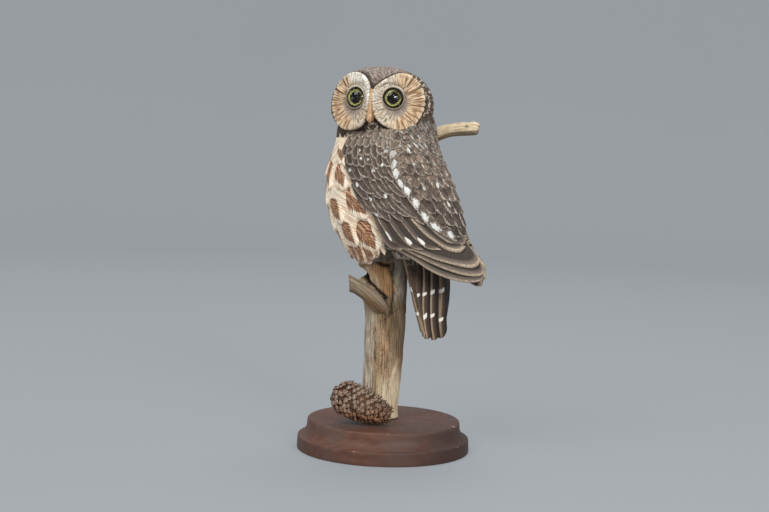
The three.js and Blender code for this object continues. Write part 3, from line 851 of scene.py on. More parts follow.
def lay_floor():
    """A round pale floor that curves up into a plain surround, lit a little from within."""
    rows, cols = 60, 96
    fine = curve(np.array(FLOOR_PROFILE) / MM, np.linspace(0, 1, rows))
    fine[:, 1] = np.maximum(fine[:, 1], 0)
    points = spun(fine, cols).reshape(-1, 3)
    p = Paint("pale_floor", 0.9, 0.1)
    tint = p.blend(p.noise(p.place()[0], 0.002, 2), (104, 107, 110), (108, 111, 114))
    p.shader.inputs["Emission Color"].default_value = linear(153, 158, 162)
    p.shader.inputs["Emission Strength"].default_value = 0.64
    floor = new_object("floor", points, grid_faces(rows, cols, closed=True), materials=[p.finish(tint)])


# The owl

SCALES, FLIGHT, BREAST, CROWN, FACE, LIDS, BILL, GROUND, TAIL = range(9)
owl_materials = [scale_paint(), flight_paint(), breast_paint(), head_paint(), disc_paint(),
                 lid_paint(), bill_paint(), core_paint(), tail_paint()]


def owl_part(name, rings, slot, **values):
    """A closed part of the owl, whose points all carry the same four named values."""
    blank = np.zeros(rings.shape)
    data = {key: values.get(key, blank) for key in ("feather", "mark", "rim", "spot")}
    return loft(name, rings, data, slot, owl_materials)


def feather_shape(root, widening, shoulder, taper, power, least):
    """Half width along a feather, as a share of its full width."""
    def shape(s):
        end = 1 - np.clip((s - shoulder) / taper, 0, 1) ** power
        return np.minimum(root + widening * s, 1) * np.sqrt(np.maximum(end, least))
    return shape


scale_tip = feather_shape(0.66, 0.7, 0.5, 0.5, 2.2, 0.01)
long_tip = feather_shape(0.6, 1.6, 0.8, 0.2, 2, 0.015)
square_tip = feather_shape(0.7, 1.6, 0.93, 0.07, 2, 0.04)
leaf_tip = feather_shape(0.5, 1.1, 0.45, 0.57, 1.6, 0.01)


@dataclass
class Plate:
    """A closed feather plate along a path of (u, height) points, raised off a surface.

    lean tips it over across its width, shift moves it off its path by that many half widths.
    edge, tone, second, shaded_side and spot only steer its paint; shaded_side gives the side of the plate
    that gets painted shade, and how strongly.
    """
    surface: object
    path: list
    slot: int
    width: float
    lift: tuple
    thick: float
    shape: object
    rows: int = 12
    cols: int = 8
    crown: float = 0.4
    lean: float = 0.0
    shift: float = 0.0
    edge: float = 0.6
    tone: float = 0.3
    second: float = 1.0
    shaded_side: float = 0.0
    spot: tuple = (0.0, 0.0, 0.0, 1.0, 1.0)

    def lines(self, share):
        """Places, size of one degree, direction and half width along the plate."""
        at = curve(self.path, share)
        ahead = curve(self.path, np.minimum(share + 0.01, 1)) - curve(self.path, np.maximum(share - 0.01, 0))
        u, height = at[:, 0], at[:, 1]
        scale = np.linalg.norm(self.surface(u + 0.5, height) - self.surface(u - 0.5, height), axis=1)
        run = unit(np.stack([ahead[:, 0] * scale, ahead[:, 1]], -1))
        return at, scale, run, self.width * self.shape(share)

    def find(self, u, height):
        """Where a point lies on the plate, along and across it, and how high the plate is there."""
        share = np.linspace(0, 1, 41)
        at, scale, run, half = self.lines(share)
        right, up = (u - at[:, 0]) * scale, height - at[:, 1]
        k = int(np.argmin(np.abs(right * run[:, 0] + up * run[:, 1])))
        across = (right[k] * run[k, 1] - up[k] * run[k, 0]) / half[k] - self.shift
        rise = mix(self.lift[0], self.lift[1], share[k]) + self.lean * across
        return share[k], across, rise, half[k]

    def build(self):
        """The plate itself, with its rows closer together towards the tip."""
        share = 1 - (1 - np.linspace(0, 1, self.rows + 1)) ** 1.35
        across = np.linspace(-1, 1, self.cols + 1)
        at, scale, run, half = self.lines(share)
        reach = (across[None, :] + self.shift) * half[:, None]
        u = at[:, :1] + run[:, 1:] * reach / scale[:, None]
        height = at[:, 1:] - run[:, :1] * reach
        rounded = self.crown * (1 - np.abs(across) ** 3) + self.lean * across
        rounded = rounded - 0.25 * (np.abs(across) > 0.99)
        rise = mix(self.lift[0], self.lift[1], share)[:, None] + rounded[None, :]
        top = lifted(self.surface, u, height, rise)
        under = lifted(self.surface, u, height, rise - self.thick)
        ring = np.concatenate([top, under[:, ::-1]], axis=1)
        size = np.linalg.norm(np.diff(top[:, self.cols // 2], axis=0), axis=1).sum()
        edge = np.minimum(half[:, None] * (1 - np.abs(across)), ((1 - share) * size)[:, None])
        strength, along, over, long, wide = self.spot
        same = np.ones(edge.shape)
        values = {
            "feather": together(share[:, None], across, self.shaded_side),
            "mark": together(same * strength, self.edge, self.tone),
            "rim": together(edge, self.second, wide),
            "spot": together(same * along, over, long / size),
        }
        both = {key: np.concatenate([v, v[:, ::-1]], axis=1) for key, v in values.items()}
        return loft("plate", ring, both, self.slot, owl_materials)


def put_spots(plates, spots, side):
    """Gives each white spot to the plate that lies uppermost at its place."""
    for turn, height, long, wide, strength in spots:
        best = None
        for plate in plates:
            along, across, rise, half = plate.find(side * turn, height)
            if 0.2 < along < 0.97 and abs(across) < 0.95 and (best is None or rise > best[0]):
                best = (rise, plate, (strength, along, across, long, wide / half))
        if best and best[2][0] > best[1].spot[0]:
            best[1].spot = best[2]


def from_back(turn):
    """Degrees from the middle of the back."""
    return np.abs((turn + 180) % 360 - 180)


def underside(turn):
    """Height of the body's lower end, lower at the belly than at the back."""
    return mix(147, 135, smooth(from_back(turn), 80, 112))


def torso_core():
    """The body under the feathers: cream on the breast, dark elsewhere."""
    cols, rows = 96, 56
    turn = np.linspace(0, 360, cols, endpoint=False)[None, :]
    share = (1 - np.cos(np.linspace(0, math.pi, rows))[:, None]) / 2
    height = mix(underside(turn), TORSO[-1, 0], share)
    streaks = together((220 - height) / 28, (turn - 135) / 25, 0)
    plain = np.zeros(streaks.shape)
    plain[..., 1] = 1
    obj = owl_part("torso", torso(turn, height), GROUND, feather=streaks, mark=plain)
    cream = (from_back(turn) > front_edge(np.minimum(height, WING_TOP)) - 2) & (height < CREAM_TOP)
    slots = np.full(len(obj.data.polygons), GROUND, np.int32)
    sides = (rows - 1) * cols
    slots[:sides] = np.where(cream[:-1], BREAST, GROUND).ravel()
    obj.data.polygons.foreach_set("material_index", slots)
    return obj


def wing_layer():
    """The folded wings and the back between them, under their feathers."""
    height = np.concatenate([np.linspace(139, 160, 14), np.linspace(162, WING_TOP, 34)])[:, None]
    turn = np.linspace(-1, 1, 61)[None, :] * (front_edge(height) - 2)
    sink = 4.5 * smooth(154 - height, 0, 10) + 1.6 * smooth(height, 205, WING_TOP)
    return owl_part("wings", lifted(wing_skin, turn, height, -sink - 0.4), GROUND)


# White spots of a wing: turn, height, half length, half width and strength
WHITE_SPOTS = [
    # on the mantle
    (24.9, 192.3, 3.2, 1.9, 0.95), (16.3, 180, 2.8, 1.5, 0.9), (41, 190.7, 1.9, 1.4, 0.6),
    (45.5, 207.6, 2.1, 1.5, 0.6), (51.5, 215.8, 3.4, 1.1, 0.9), (15.8, 208.2, 2.2, 1.3, 0.8),
    (25.2, 199.8, 2.2, 1.2, 0.8), (36.3, 205.8, 2.4, 1.0, 0.85), (12.9, 196, 2.4, 0.8, 0.7),
    (15, 172.4, 2.2, 1.2, 0.6), (1, 184.5, 2.2, 1.1, 0.7), (3, 201, 2.2, 1.0, 0.7),
    # on the coverts
    (81.3, 205.5, 1.8, 1.5, 1.0), (77.8, 184.4, 2.7, 1.4, 0.95), (92.1, 181.9, 2.2, 1.2, 0.85),
    (86, 171.1, 2.2, 1.3, 0.85), (103.8, 209.9, 1.9, 1.0, 0.85), (103.8, 191.8, 2.0, 1.2, 0.85),
    (112.1, 201.3, 1.7, 1.0, 0.75), (97.3, 209.3, 1.6, 0.9, 0.65), (91.5, 201.9, 1.9, 1.0, 0.6),
    (79.8, 215.3, 2.0, 1.6, 0.6), (98, 197, 1.6, 0.8, 0.55), (107, 215, 1.6, 0.8, 0.65),
    # on the secondaries
    (77.6, 156.9, 3.8, 1.1, 1.0), (63, 154.2, 3.9, 1.4, 0.95), (53.4, 154.4, 3.9, 1.4, 0.95),
]
COVERTS_IN_ROW = 8
# Coverts: height of the tips, length, share of the front edge where the row ends
COVERT_ROWS = [(229, 11, 0.5), (223.5, 11, 0.55), (217.6, 11.5, 0.6), (211, 12.5, 0.62),
               (203.8, 13.5, 0.6), (195, 16, 0.58), (183.2, 20, 0.56), (169.4, 23, 0.53)]
# The shoulder feathers' tips, down the wing, and the strength of the white patch on each
SHOULDER = [(79, 229, 0), (77, 222, 0), (75.2, 215.5, 0), (73.8, 209, 0.55), (71.8, 202.3, 0.8),
            (68.8, 195.5, 0.85), (63.6, 189.3, 0.9), (59, 183, 1), (52.5, 174.6, 1), (46, 165.4, 1),
            (32.5, 159, 1), (19.9, 153.6, 1)]
# Mantle: height of the tips, length
MANTLE_ROWS = [(228, 13), (221.5, 13), (214.5, 14), (207, 15), (199, 16.5), (190.5, 17.5),
               (181.5, 18.5), (172.5, 18.5), (164, 18), (157, 15)]
# Height, and the share of the way to the front edge that the mantle covers there
MANTLE_REACH = [(156, 0.24), (162, 0.36), (170, 0.47), (180, 0.5), (188, 0.52), (200, 0.56), (230, 0.58)]
# Front edges of the secondaries
SECONDARY_EDGES = [
    [(92, 173), (89, 167), (85.5, 160), (81.5, 153), (77, 148.9), (70, 147.8)],
    [(88, 173), (85.3, 167.7), (80.7, 160.9), (76.2, 153.5), (71.1, 148.9), (63.1, 147.8)],
    [(80, 173), (76.4, 166.6), (71.4, 159.9), (66.4, 153.9), (61.5, 149.2), (54.6, 148)],
    [(71, 173), (66.9, 166.9), (61.2, 160.2), (55.7, 153.5), (50.4, 148.8), (41, 148.2)],
    [(61, 173), (57.2, 167.2), (49.8, 159.8), (40.8, 153.1), (32.5, 148.2), (22.6, 147.1), (12, 149.4)],
    [(51, 173), (47.5, 167.5), (40.5, 161), (31.5, 155), (22, 151.2), (10, 151.8), (5, 153.5)],
    [(36, 170), (30, 163), (22, 157.5), (13, 154.4), (3, 155), (-2, 157)],
]
# Lines of the long wing tips, from the lowest layer up
PRIMARY_PATHS = [
    [(80, 152), (66, 144.5), (52, 135.5), (38, 131.5), (22, 130.8), (8, 133), (-2, 138)],
    [(72, 152), (60, 146.5), (48, 141), (36, 137.3), (22, 136), (9, 138), (1, 144)],
    [(68, 153), (54, 148.5), (43, 145), (30, 142.5), (19, 142.5), (8, 146), (3, 151)],
]
# Neck tufts: height of a row, and how strong its white flecks are
TUFT_ROWS = [(235, 0.3), (230.5, 0.4), (226, 0.75), (221.5, 0.9), (217, 0.9), (212.5, 0.9)]


def wing_feather(side, points, lean, shift=0, dark=0, **rest):
    """A plate of one wing; turns, lean, shift and the shaded side count from the back outwards; dark is the
    strength of the painted shade on that side.
    """
    path = [(side * turn, height) for turn, height in points]
    return Plate(wing_skin, path, lean=lean * side, shift=shift * side, shaded_side=side * dark, **rest)


def coverts(side, draw):
    """Rows of small feathers over the side of the wing."""
    plates = []
    for row, (tip, length, last) in enumerate(COVERT_ROWS):
        low = smooth(205 - tip, 0, 35)
        pale = mix(1.0, 0.1, smooth(222 - tip, 0, 15))
        for k in range(COVERTS_IN_ROW):
            share = mix(0.965, last, (k + (0.05 if row % 2 else 0.5)) / 7.2) + draw.uniform(-0.006, 0.006)
            drift = (0.35 + 0.65 * low) * 0.011 * (1 - share) * length
            points = []
            for part, bend in ((1, 1), (0.45, 0.42), (0, 0)):
                height = min(tip + part * length, COVERT_TOP)
                curl = 0.03 * low * (part > 0)
                edge = float(front_edge(min(height, WING_TOP)))
                points.append(((share + drift * bend + curl) * edge, height))
            stagger = (1.6 + 1.6 * low) * math.sin(2.4 * k + 1.9 * row) + draw.uniform(-1, 1)
            points[-1] = (points[-1][0], tip + stagger)
            plates.append(wing_feather(
                side, points, -0.45 - 0.35 * low, dark=1, slot=SCALES, width=mix(3.1, 3.7, low),
                lift=(-1.4, 0.75 + 0.25 * low), thick=2.8, shape=scale_tip, crown=0.35,
                edge=mix(1.25, 1.1, low), tone=pale * draw.uniform(0.7, 1.25), second=0.12))
    return plates


def shoulders(side, draw):
    """The row of feathers down the wing's front, and the white patch of each."""
    plates, patches = [], []
    for k in range(2, len(SHOULDER)):
        points = [point[:2] for point in SHOULDER[k - 2:k + 1]]
        plates.append(wing_feather(
            side, points, -0.4, shift=1.0, dark=0.5, slot=SCALES, width=3.9, lift=(-0.8, 1.75), thick=3,
            shape=scale_tip, crown=0.3, edge=0.6, tone=0.45, second=0.45, rows=14))
        patches.append((SHOULDER[k][2], 0.72 + draw.uniform(-0.06, 0.06), draw.uniform(-0.45, -0.1) * side,
                        draw.uniform(3.4, 5.2), draw.uniform(0.5, 0.75)))
    return plates, patches


def mantle(side, draw):
    """Rows of broad feathers over half of the back."""
    plates = []
    for row, (tip, length) in enumerate(MANTLE_ROWS):
        limit = float(np.interp(tip, *np.array(MANTLE_REACH).T))
        edge = float(front_edge(min(tip, WING_TOP)))
        arc = math.radians(limit * edge) * float(read_table(WING, min(tip, WING_TOP), 2))
        wide = mix(6.2, 8.6, row / 9)
        count = max(int(round(arc / wide)), 2)
        low = smooth(190 - tip, 0, 18)
        for k in range(count):
            share = limit * (k + (0.28 if row % 2 else 0.72)) / count
            turn = share * edge + draw.uniform(-0.8, 0.8)
            drift = (0.12 + 0.2 * low) * turn
            top = min(tip + length, MANTLE_TOP - 3.5 * float(smooth(turn, 35, 60)))
            points = [(turn + drift, top), (turn + drift * 0.4, mix(tip, top, 0.45)),
                      (turn, tip + draw.uniform(-0.8, 0.8))]
            plates.append(wing_feather(
                side, points, -0.15, slot=SCALES, width=wide * 0.6, lift=(-1.5, 0.95 + 0.2 * low),
                thick=2.8, shape=scale_tip, crown=0.55, edge=mix(0.35, 0.95, low),
                tone=mix(0.3, 0.0, low), second=mix(0.95, 0.2, low)))
    return plates


def secondaries(side):
    """Long feathers that lie over the rear of the wing."""
    return [wing_feather(
        side, edge, -0.9 + 0.06 * k, shift=1.0, dark=1, slot=FLIGHT, width=4.1, lift=(-1.2, 1.3 - 0.05 * k),
        thick=3.6, shape=long_tip, rows=26, crown=0.45, edge=1.5 if k == 4 else 0.75,
        tone=0.2 + 0.1 * k, second=-side) for k, edge in enumerate(SECONDARY_EDGES)]


def primaries(side):
    """Layers of the wing tip, the far wing's a little lower."""
    plates = []
    near = side > 0
    drop = 0 if near else FAR_WING_DROP
    for layer, path in enumerate(PRIMARY_PATHS):
        points = [(turn, height - drop * i / (len(path) - 1)) for i, (turn, height) in enumerate(path)]
        level = -4.6 + 2 * layer + (0.6 if near else 0)
        # Painted shade: the far wing's primaries are darker, and its lowest layer has only a faint tan edge.
        plates.append(wing_feather(
            side, points, -0.5, slot=FLIGHT, width=5.5, lift=(level - 0.6, level + 0.4), thick=2.6,
            shape=long_tip, rows=44, cols=10, crown=0.6, edge=1.7 if near or layer else 0.3,
            tone=0.6 if near else 0.3, second=-side))
    return plates


def neck_tufts(side, draw):
    """Small raised tufts over the nape, flecked with white."""
    plates = []
    for row, (height, white) in enumerate(TUFT_ROWS):
        for k in range(7 if row < 4 else 5):
            turn = 2 + 9.5 * (k + 0.5 * (row % 2)) + draw.uniform(-3, 3)
            tip = height + draw.uniform(-1.5, 1.5)
            long = draw.uniform(0.8, 1.3)
            points = [(turn + 9 * long, tip + 5.5 * long), (turn, tip), (turn - 7 * long, tip - 5 * long)]
            plates.append(wing_feather(
                side, points, 0, slot=SCALES, width=draw.uniform(1.3, 1.9), lift=(-1.2, 1.3), thick=2.6,
                shape=scale_tip, crown=0.3, cols=6, edge=0.25, tone=0.05, second=0.2))
            strength = draw.uniform(0.35, 0.95) * white
            plates[-1].spot = (strength, 0.6, 0.15 * side, draw.uniform(2.6, 5), 0.42)
    return plates


def wing_plates(side, draw):
    """All feathers of one wing and its half of the back."""
    plates = coverts(side, draw)
    shoulder, patches = shoulders(side, draw)
    plates += shoulder + mantle(side, draw) + secondaries(side) + primaries(side)
    put_spots(plates, WHITE_SPOTS, side)
    for plate, patch in zip(shoulder, patches):
        plate.spot = patch
    return plates + neck_tufts(side, draw)


# Breast feathers of one half: root, middle and tip as (turn, height), half width, 1 for a plain one
BREAST_LEAVES = [
    ([(127, 189), (111, 181), (98, 171.5)], 11.5, 0), ([(118, 168.5), (103, 158.5), (92, 148.5)], 11.5, 0),
    ([(157, 180), (138, 173.5), (128, 166)], 9, 0), ([(138, 164), (126.5, 158.4), (116, 150.6)], 9, 0),
    ([(113.6, 149), (105.3, 145.5), (96, 141)], 7.5, 0), ([(147, 147), (134, 143), (129, 138)], 6.5, 0),
    ([(141.5, 208), (129, 199.8), (120, 190)], 9, 0), ([(144, 225), (134, 217.5), (126.5, 208)], 9, 0),
    ([(163, 210.6), (153, 201), (143, 190)], 8.5, 0), ([(176, 218), (167, 208), (160, 198)], 8, 0),
    ([(176, 198), (166, 188), (156, 178)], 9, 0), ([(182, 178), (166, 169), (154, 160)], 9, 0),
    ([(168, 160), (156, 153), (148, 145)], 8, 0), ([(186, 158), (177, 150), (168, 141)], 8, 0),
    ([(128, 150), (120, 145), (114, 139)], 6, 0), ([(104, 153), (95, 146), (89, 142.5)], 6, 1),
]
# The white fork at the neck
NECK_FORK = [[(127, 229), (130.5, 222), (133.5, 215)], [(148, 227), (141, 221.5), (134.5, 216)]]


def breast_plate(side, path, **rest):
    """A leaf feather of the breast; the path is given for the near half and mirrored for the far one."""
    path = [(180 - side * (180 - turn), height) for turn, height in path]
    return Plate(torso, path, BREAST, shape=leaf_tip, **rest)


def breast_leaves(side, draw):
    """The marked feathers of one half of the breast."""
    plates = []
    slide = 0 if side > 0 else -4.5
    for points, width, bare in BREAST_LEAVES:
        root, middle, tip = (np.array(point, float) for point in points)
        path = [root + 0.3 * (root - middle), middle, tip + 0.25 * (tip - middle)]
        path = [(turn, height + slide + draw.uniform(-0.4, 0.4)) for turn, height in path]
        plate = breast_plate(
            side, path, width=width, lift=(-1.8, 1.1), thick=2.8, rows=18, cols=12, crown=0.8,
            lean=0.3 * side, edge=bare, tone=draw.random(), second=-side)
        turn, height = plate.path[2]
        plate.path[2] = (turn, max(height, float(underside(np.array(turn))) - 0.3))
        plates.append(plate)
    return plates


def wing_lining(side):
    """Cream feathers along the edge of the wing."""
    plates = []
    for height in np.arange(152, 222, 8.5):
        edge = float(front_edge(height + 4)) + 3.5
        lower = float(front_edge(height - 8)) + 0.5
        path = [(edge + 2, height + 8), (edge, height), (lower, height - 8)]
        plates.append(breast_plate(
            side, path, width=2.0, lift=(-0.8, 1.5), thick=3.4, cols=6, crown=0.5, edge=1.0, tone=0.2))
    return plates


def breast_plates(draw):
    plates = []
    for side in (1, -1):
        plates += breast_leaves(side, draw)
        for fork in NECK_FORK:
            plates.append(breast_plate(
                side, fork, width=1.5, lift=(-0.2, 1.5), thick=2.6, cols=6, edge=1.0, tone=0.2))
        plates += wing_lining(side)
    return plates


# Left edges of the tail feathers as (side, height)
TAIL_EDGES = [
    [(23.5, 150), (21, 140.6), (17.2, 121.6), (14.8, 107.4), (12.6, 97), (10.6, 88)],
    [(11.5, 150), (12.2, 134.3), (13.8, 121.6), (14, 114.5), (13.2, 105), (11.2, 93), (9.4, 84.6)],
    [(6, 150), (6.8, 132.1), (7.6, 121.5), (9, 113), (9.8, 103.8), (9.4, 92), (8.2, 83)],
    [(0, 150), (0.4, 129), (1.8, 116.3), (3, 107), (3.8, 97.8), (3.7, 89.3), (2.6, 82)],
    [(-6, 150), (-8, 130), (-8.2, 117), (-6.6, 108), (-4.4, 97.4), (-4, 88.8), (-4.6, 83)],
    [(-12, 150), (-15.5, 128), (-14, 117), (-9.2, 106), (-4.7, 97), (-2.2, 90)],
]
# How tan the edge of each tail feather is
TAIL_TAN = (0.8, 1, 1, 1, 0.7, 0)
# Places of the white marks on the tail
TAIL_MARKS = [(17.2, 118.8), (14.2, 114.5), (8.2, 115.8), (1.9, 116.6), (-9.5, 117.1),
              (14, 101.7), (10, 99), (3.8, 99.4), (-4.4, 97.6)]
NO_MARK = 2.0  # a place beyond the tip


def tail_plates():
    """The tail's long feathers, each with the white marks that fall on it."""
    plates = []
    for k, (edge, tan) in enumerate(zip(TAIL_EDGES, TAIL_TAN)):
        level = 0.9 * min(k, 4) - 2.5 if k < 5 else -0.9
        plates.append(Plate(
            tail_sheet, edge, TAIL, width=4.3 if k < 5 else 5.2, lift=(level, level), thick=2.8,
            shape=square_tip if k < 4 else long_tip, rows=34, cols=10, crown=0.5, lean=-0.3,
            shift=1.0, edge=tan, tone=0.0, second=-1.0))
    marks = [[] for _ in plates]
    for side, height in TAIL_MARKS:
        near = []
        for found, plate in zip(marks, plates):
            along, across, rise, _ = plate.find(side - 0.4, height)
            if abs(across) < 1.1:
                near.append((rise, along, found))
        if near:
            _, along, found = max(near, key=lambda item: item[0])
            found.append(along)
    for plate, found in zip(plates, marks):
        first, last = (found + [NO_MARK, NO_MARK])[:2]
        plate.spot = (1.0, first, last, 1.0, 1.0)
    return plates


def tail_core():
    """The fan of wood under the tail's feathers."""
    height = np.linspace(156, 87, 36)[:, None]
    half = read_table(TAIL_HALF, height, 1) * 0.86
    outer = np.linspace(1, -1, 17)
    front = lifted(tail_sheet, half * outer, height, -1.2)
    rear = lifted(tail_sheet, half * outer[::-1] * 0.96, height, -4.2)
    return owl_part("tail", np.concatenate([front, rear], axis=1), GROUND)


def head_direction(side, forward, up):
    sin, cos = sin_cos(HEAD_TURN)
    return together(side * cos - forward * sin, -side * sin - forward * cos, up)


def head_point(side, forward, up):
    return HEAD_AT + head_direction(side, forward, up)


def disc_frame(side):
    """Normal, outward and up directions of a disc and its centre, in the head's own frame."""
    sin, cos = sin_cos(DISC["turn"])
    rise, level = sin_cos(DISC["tilt"])
    normal = np.array([side * sin * level, cos * level, rise])
    outward = np.array([side * cos, -sin, 0])
    up = np.array([-side * sin * rise, -cos * rise, level])
    eye = np.array([side * EYE["side"], FACE_DEPTH, EYE["up"]])
    centre = eye + outward * DISC["outward"] + up * DISC["up"]
    return normal, outward, up, centre


def head_shape(way):
    """Points of the bare head in the given directions, eased back behind the planes of the discs."""
    x, y, z = np.moveaxis(way, -1, 0)
    tall = np.where(z > 0, HEAD["top"], HEAD["low"])
    outline = (np.abs(x / HEAD["half"]) ** 2.2 + np.abs(z / tall) ** 2.2) ** (1 / 2.2)
    depth = np.where(y > 0, HEAD["front"], HEAD["back"])
    power = np.where(y > 0, 2.5, 2.2)
    block = (outline ** power + np.abs(y / depth) ** power) ** (-1 / power)
    total = block ** -14.0
    for side in (-1, 1):
        normal, _, _, centre = disc_frame(side)
        facing = way @ normal
        limit = (centre @ normal - 1.5) / np.maximum(facing, 0.05)
        total += np.where(facing > 0.05, limit ** -14.0, 0)
    return way * (total ** (-1 / 14))[..., None]


def nearest_disc(points):
    """How far each point is from the nearer disc, 1 at its rim, and its angle round it."""
    nearest = np.zeros(points.shape)
    nearest[..., 0] = 9
    for side in (-1, 1):
        normal, outward, up, centre = disc_frame(side)
        along, above = (points - centre) @ outward / DISC["wide"], (points - centre) @ up / DISC["high"]
        angle = np.degrees(np.arctan2(above, along)) % 360
        behind = smooth((centre - points) @ normal, 30, 42)
        reach = np.hypot(along, above) / disc_rim(side, angle) + 3 * behind
        closer = reach < nearest[..., 0]
        nearest[..., 0] = np.where(closer, reach, nearest[..., 0])
        nearest[..., 1] = np.where(closer, np.abs(angle - 180), nearest[..., 1])
    return nearest


def head_block():
    """The head; its rings run from the face to the nape."""
    polar = np.linspace(0, math.pi, 92)[1:-1, None]
    roll = circle(168)[None, :]
    way = together(np.sin(polar) * np.cos(roll), np.cos(polar), np.sin(polar) * np.sin(roll))
    x, y, z = np.moveaxis(way, -1, 0)
    tuft = np.sin(roll * 46 + 2.5 * np.sin(polar * 9)) * np.sin(polar * 16 + 3 * np.sin(roll * 5))
    p = head_shape(way) * (1 + (0.006 * tuft - 0.009) * smooth(polar, 0.9, 1.3))[..., None]
    crown = smooth(z, 0.35, 0.75) * (1 - smooth(np.abs(x), 0.45, 0.8)) * (1 - smooth(-y, 0.1, 0.7))
    streaks = together(polar * 33, np.sin(polar) * np.abs(roll - math.pi) * 33, crown)
    return owl_part("head", head_point(*np.moveaxis(p, -1, 0)), CROWN, feather=streaks, mark=nearest_disc(p))


# Reach of each disc's rim, as a share of its round size, at angles from its outer side upwards
DISC_RIM = {
    1: [(0, 1.13), (15, 1.15), (33, 1.16), (52, 1.15), (65, 1.12), (79, 1.07), (89, 1.0), (107, 0.905),
        (134, 0.9), (151, 0.98), (166, 0.96), (207, 0.96), (226, 0.955), (247, 0.945), (268, 0.97),
        (284, 1.02), (307, 1.06), (336, 1.07)],
    -1: [(0, 1.05), (25, 1.03), (45, 1.04), (68, 1.05), (90, 1.06), (112, 1.05), (138, 0.97),
         (155, 0.88), (180, 0.86), (207, 0.92), (226, 1.0), (241, 1.03), (266, 1.01), (290, 1.04),
         (315, 1.03), (340, 1.03)],
}
# Section of a disc from its hidden back over the rim to the eye: share of its reach, height
DISC_PROFILE = [[0.72, -9], [0.9, -3.5], [0.985, -0.8], [1.0, 0.5], [0.985, 1.4], [0.94, 1.85], [0.86, 1.5],
                [0.74, 0.7], [0.6, -0.1], [0.45, -1.0], [0.32, -1.5]]


def disc_rim(side, degrees):
    """Reach of a disc's rim at an angle, smoothed over a few degrees."""
    table = np.array(DISC_RIM[side])
    turns = [np.interp((degrees + shift) % 360, table[:, 0], table[:, 1], period=360) for shift in (-8, 0, 8)]
    return sum(turns) / 3


def groove_lines(side, degrees):
    """1 in the middle of each groove that fans out from the eye."""
    lines = np.zeros_like(degrees)
    at, k = GROOVE_FROM, 0
    while at < GROOVE_TO:
        broad = 1.9 + 0.7 * math.sin(k * 2.9 + 1)
        deep = 0.75 + 0.25 * math.sin(k * 2.3)
        lines = np.maximum(lines, np.exp(-((degrees - at) / broad) ** 2) * deep)
        at += 12.5 + 2.6 * math.sin(k * 1.7 + side)
        k += 1
    return lines


def eye_fold(side, across, above):
    """A fold above the eye, round its centre."""
    bearing = np.arctan2(above, across)
    fold = np.exp(-((np.hypot(across, above) - FOLD_REACH) / FOLD_WIDTH) ** 2)
    return fold * smooth(np.cos(bearing - math.radians(75)), 0.1, 0.6) * (1.25 if side > 0 else 0.8)


def disc(side):
    """A shallow dish with a rounded rim, cut by grooves that fan out from the eye on its outer side."""
    normal, outward, up, centre = disc_frame(side)
    fine = curve(DISC_PROFILE, np.linspace(0, 1, 30))
    share, height = fine[:, :1], fine[:, 1:]
    angle = circle(420)[None, :]
    sin, cos = np.sin(angle), np.cos(angle)
    wrapped = (np.degrees(angle) + 180) % 360 - 180
    brow_from, brow_to = (74, 108) if side > 0 else (52, 88)
    outer = smooth(wrapped, -112, -78) * (1 - smooth(wrapped, brow_from, brow_to))
    groove = groove_lines(side, wrapped) * outer * smooth(share, 0.52 + 0.05 * np.sin(angle * 9), 0.7)
    hair = 0.13 * np.sin(angle * 97 + 3 * share) + 0.13 * np.sin(angle * 61 + 2 * np.sin(5 * angle))
    hair = hair * smooth(share, 0.42, 0.7) * (1 - 0.6 * smooth(share, 0.97, 1.0))
    rim = mix(1, disc_rim(side, np.degrees(angle)), smooth(share, 0.45, 0.9))
    fold = eye_fold(side, share * rim * DISC["wide"] * cos + DISC["outward"],
                    share * rim * DISC["high"] * sin + DISC["up"])
    size = share * rim * (1 - 0.03 * groove * smooth(share, 0.9, 1))
    p = placed(centre, (outward, size * DISC["wide"] * cos), (up, size * DISC["high"] * sin),
               (normal, height - 0.75 * groove - 0.6 * fold + hair))
    tan = outer * smooth(share + 0.12 * cos, 0.46, 0.68)
    brow = smooth(np.cos(angle - math.radians(128)), 0.25, 0.75) * smooth(share, 0.62, 0.8)
    brow = brow * (0.35 if side > 0 else 1)
    # Painted shade round the eye and in the fold above it.
    eye_shade = np.maximum(1 - smooth(share, 0.4, 0.6), fold)
    return owl_part("disc", head_point(*np.moveaxis(p, -1, 0)), FACE, mark=together(tan, brow, eye_shade),
                    feather=together(share, angle / (2 * math.pi), groove))


def eye_centre(side):
    return head_point(side * EYE["side"], EYE["forward"], EYE["up"])


def eye_axes(side):
    """Forward, outward and up directions of one eye."""
    sin, cos = sin_cos(EYE["turn"])
    forward = unit(head_direction(side * sin, cos, 0.08))
    across = unit(np.cross(forward, [0, 0, 1.0])) * side
    across = across if across @ head_direction(side, 0, 0) > 0 else -across
    up = unit(np.cross(across, forward))
    return forward, across, up if up[2] > 0 else -up


def lids(side):
    """The raised ring of the lids, heavier above the eye."""
    forward, across, up = eye_axes(side)
    rows, cols = 72, 16
    angle, tube = circle(rows)[:, None], circle(cols)[None, :]
    above = smooth(np.sin(angle), 0.1, 0.8)
    thick = LID["thick"] + 0.5 * above
    reach = LID["reach"] + 0.55 * above + thick * np.cos(tube)
    ring = placed(eye_centre(side) + forward * LID["forward"], (across, np.cos(angle) * reach),
                  (up, np.sin(angle) * reach), (forward, thick * np.sin(tube) * 1.05))
    # The painted shadow line along the lid's outer edge above the eye.
    line = smooth(np.cos(tube), 0.3, 0.8) * above
    values = together(above, (1 - np.cos(tube)) / 2, line).reshape(-1, 3)
    faces = grid_faces(rows, cols, closed=True)
    last = (rows - 1) * cols
    faces += [(last + k, last + (k + 1) % cols, (k + 1) % cols, k) for k in range(cols)]
    points = ring.reshape(-1, 3)
    data = {"feather": values, **dict.fromkeys(("mark", "rim", "spot"), np.zeros(points.shape))}
    return new_object("lids", points, turned_out(points, faces), data, LIDS, owl_materials)


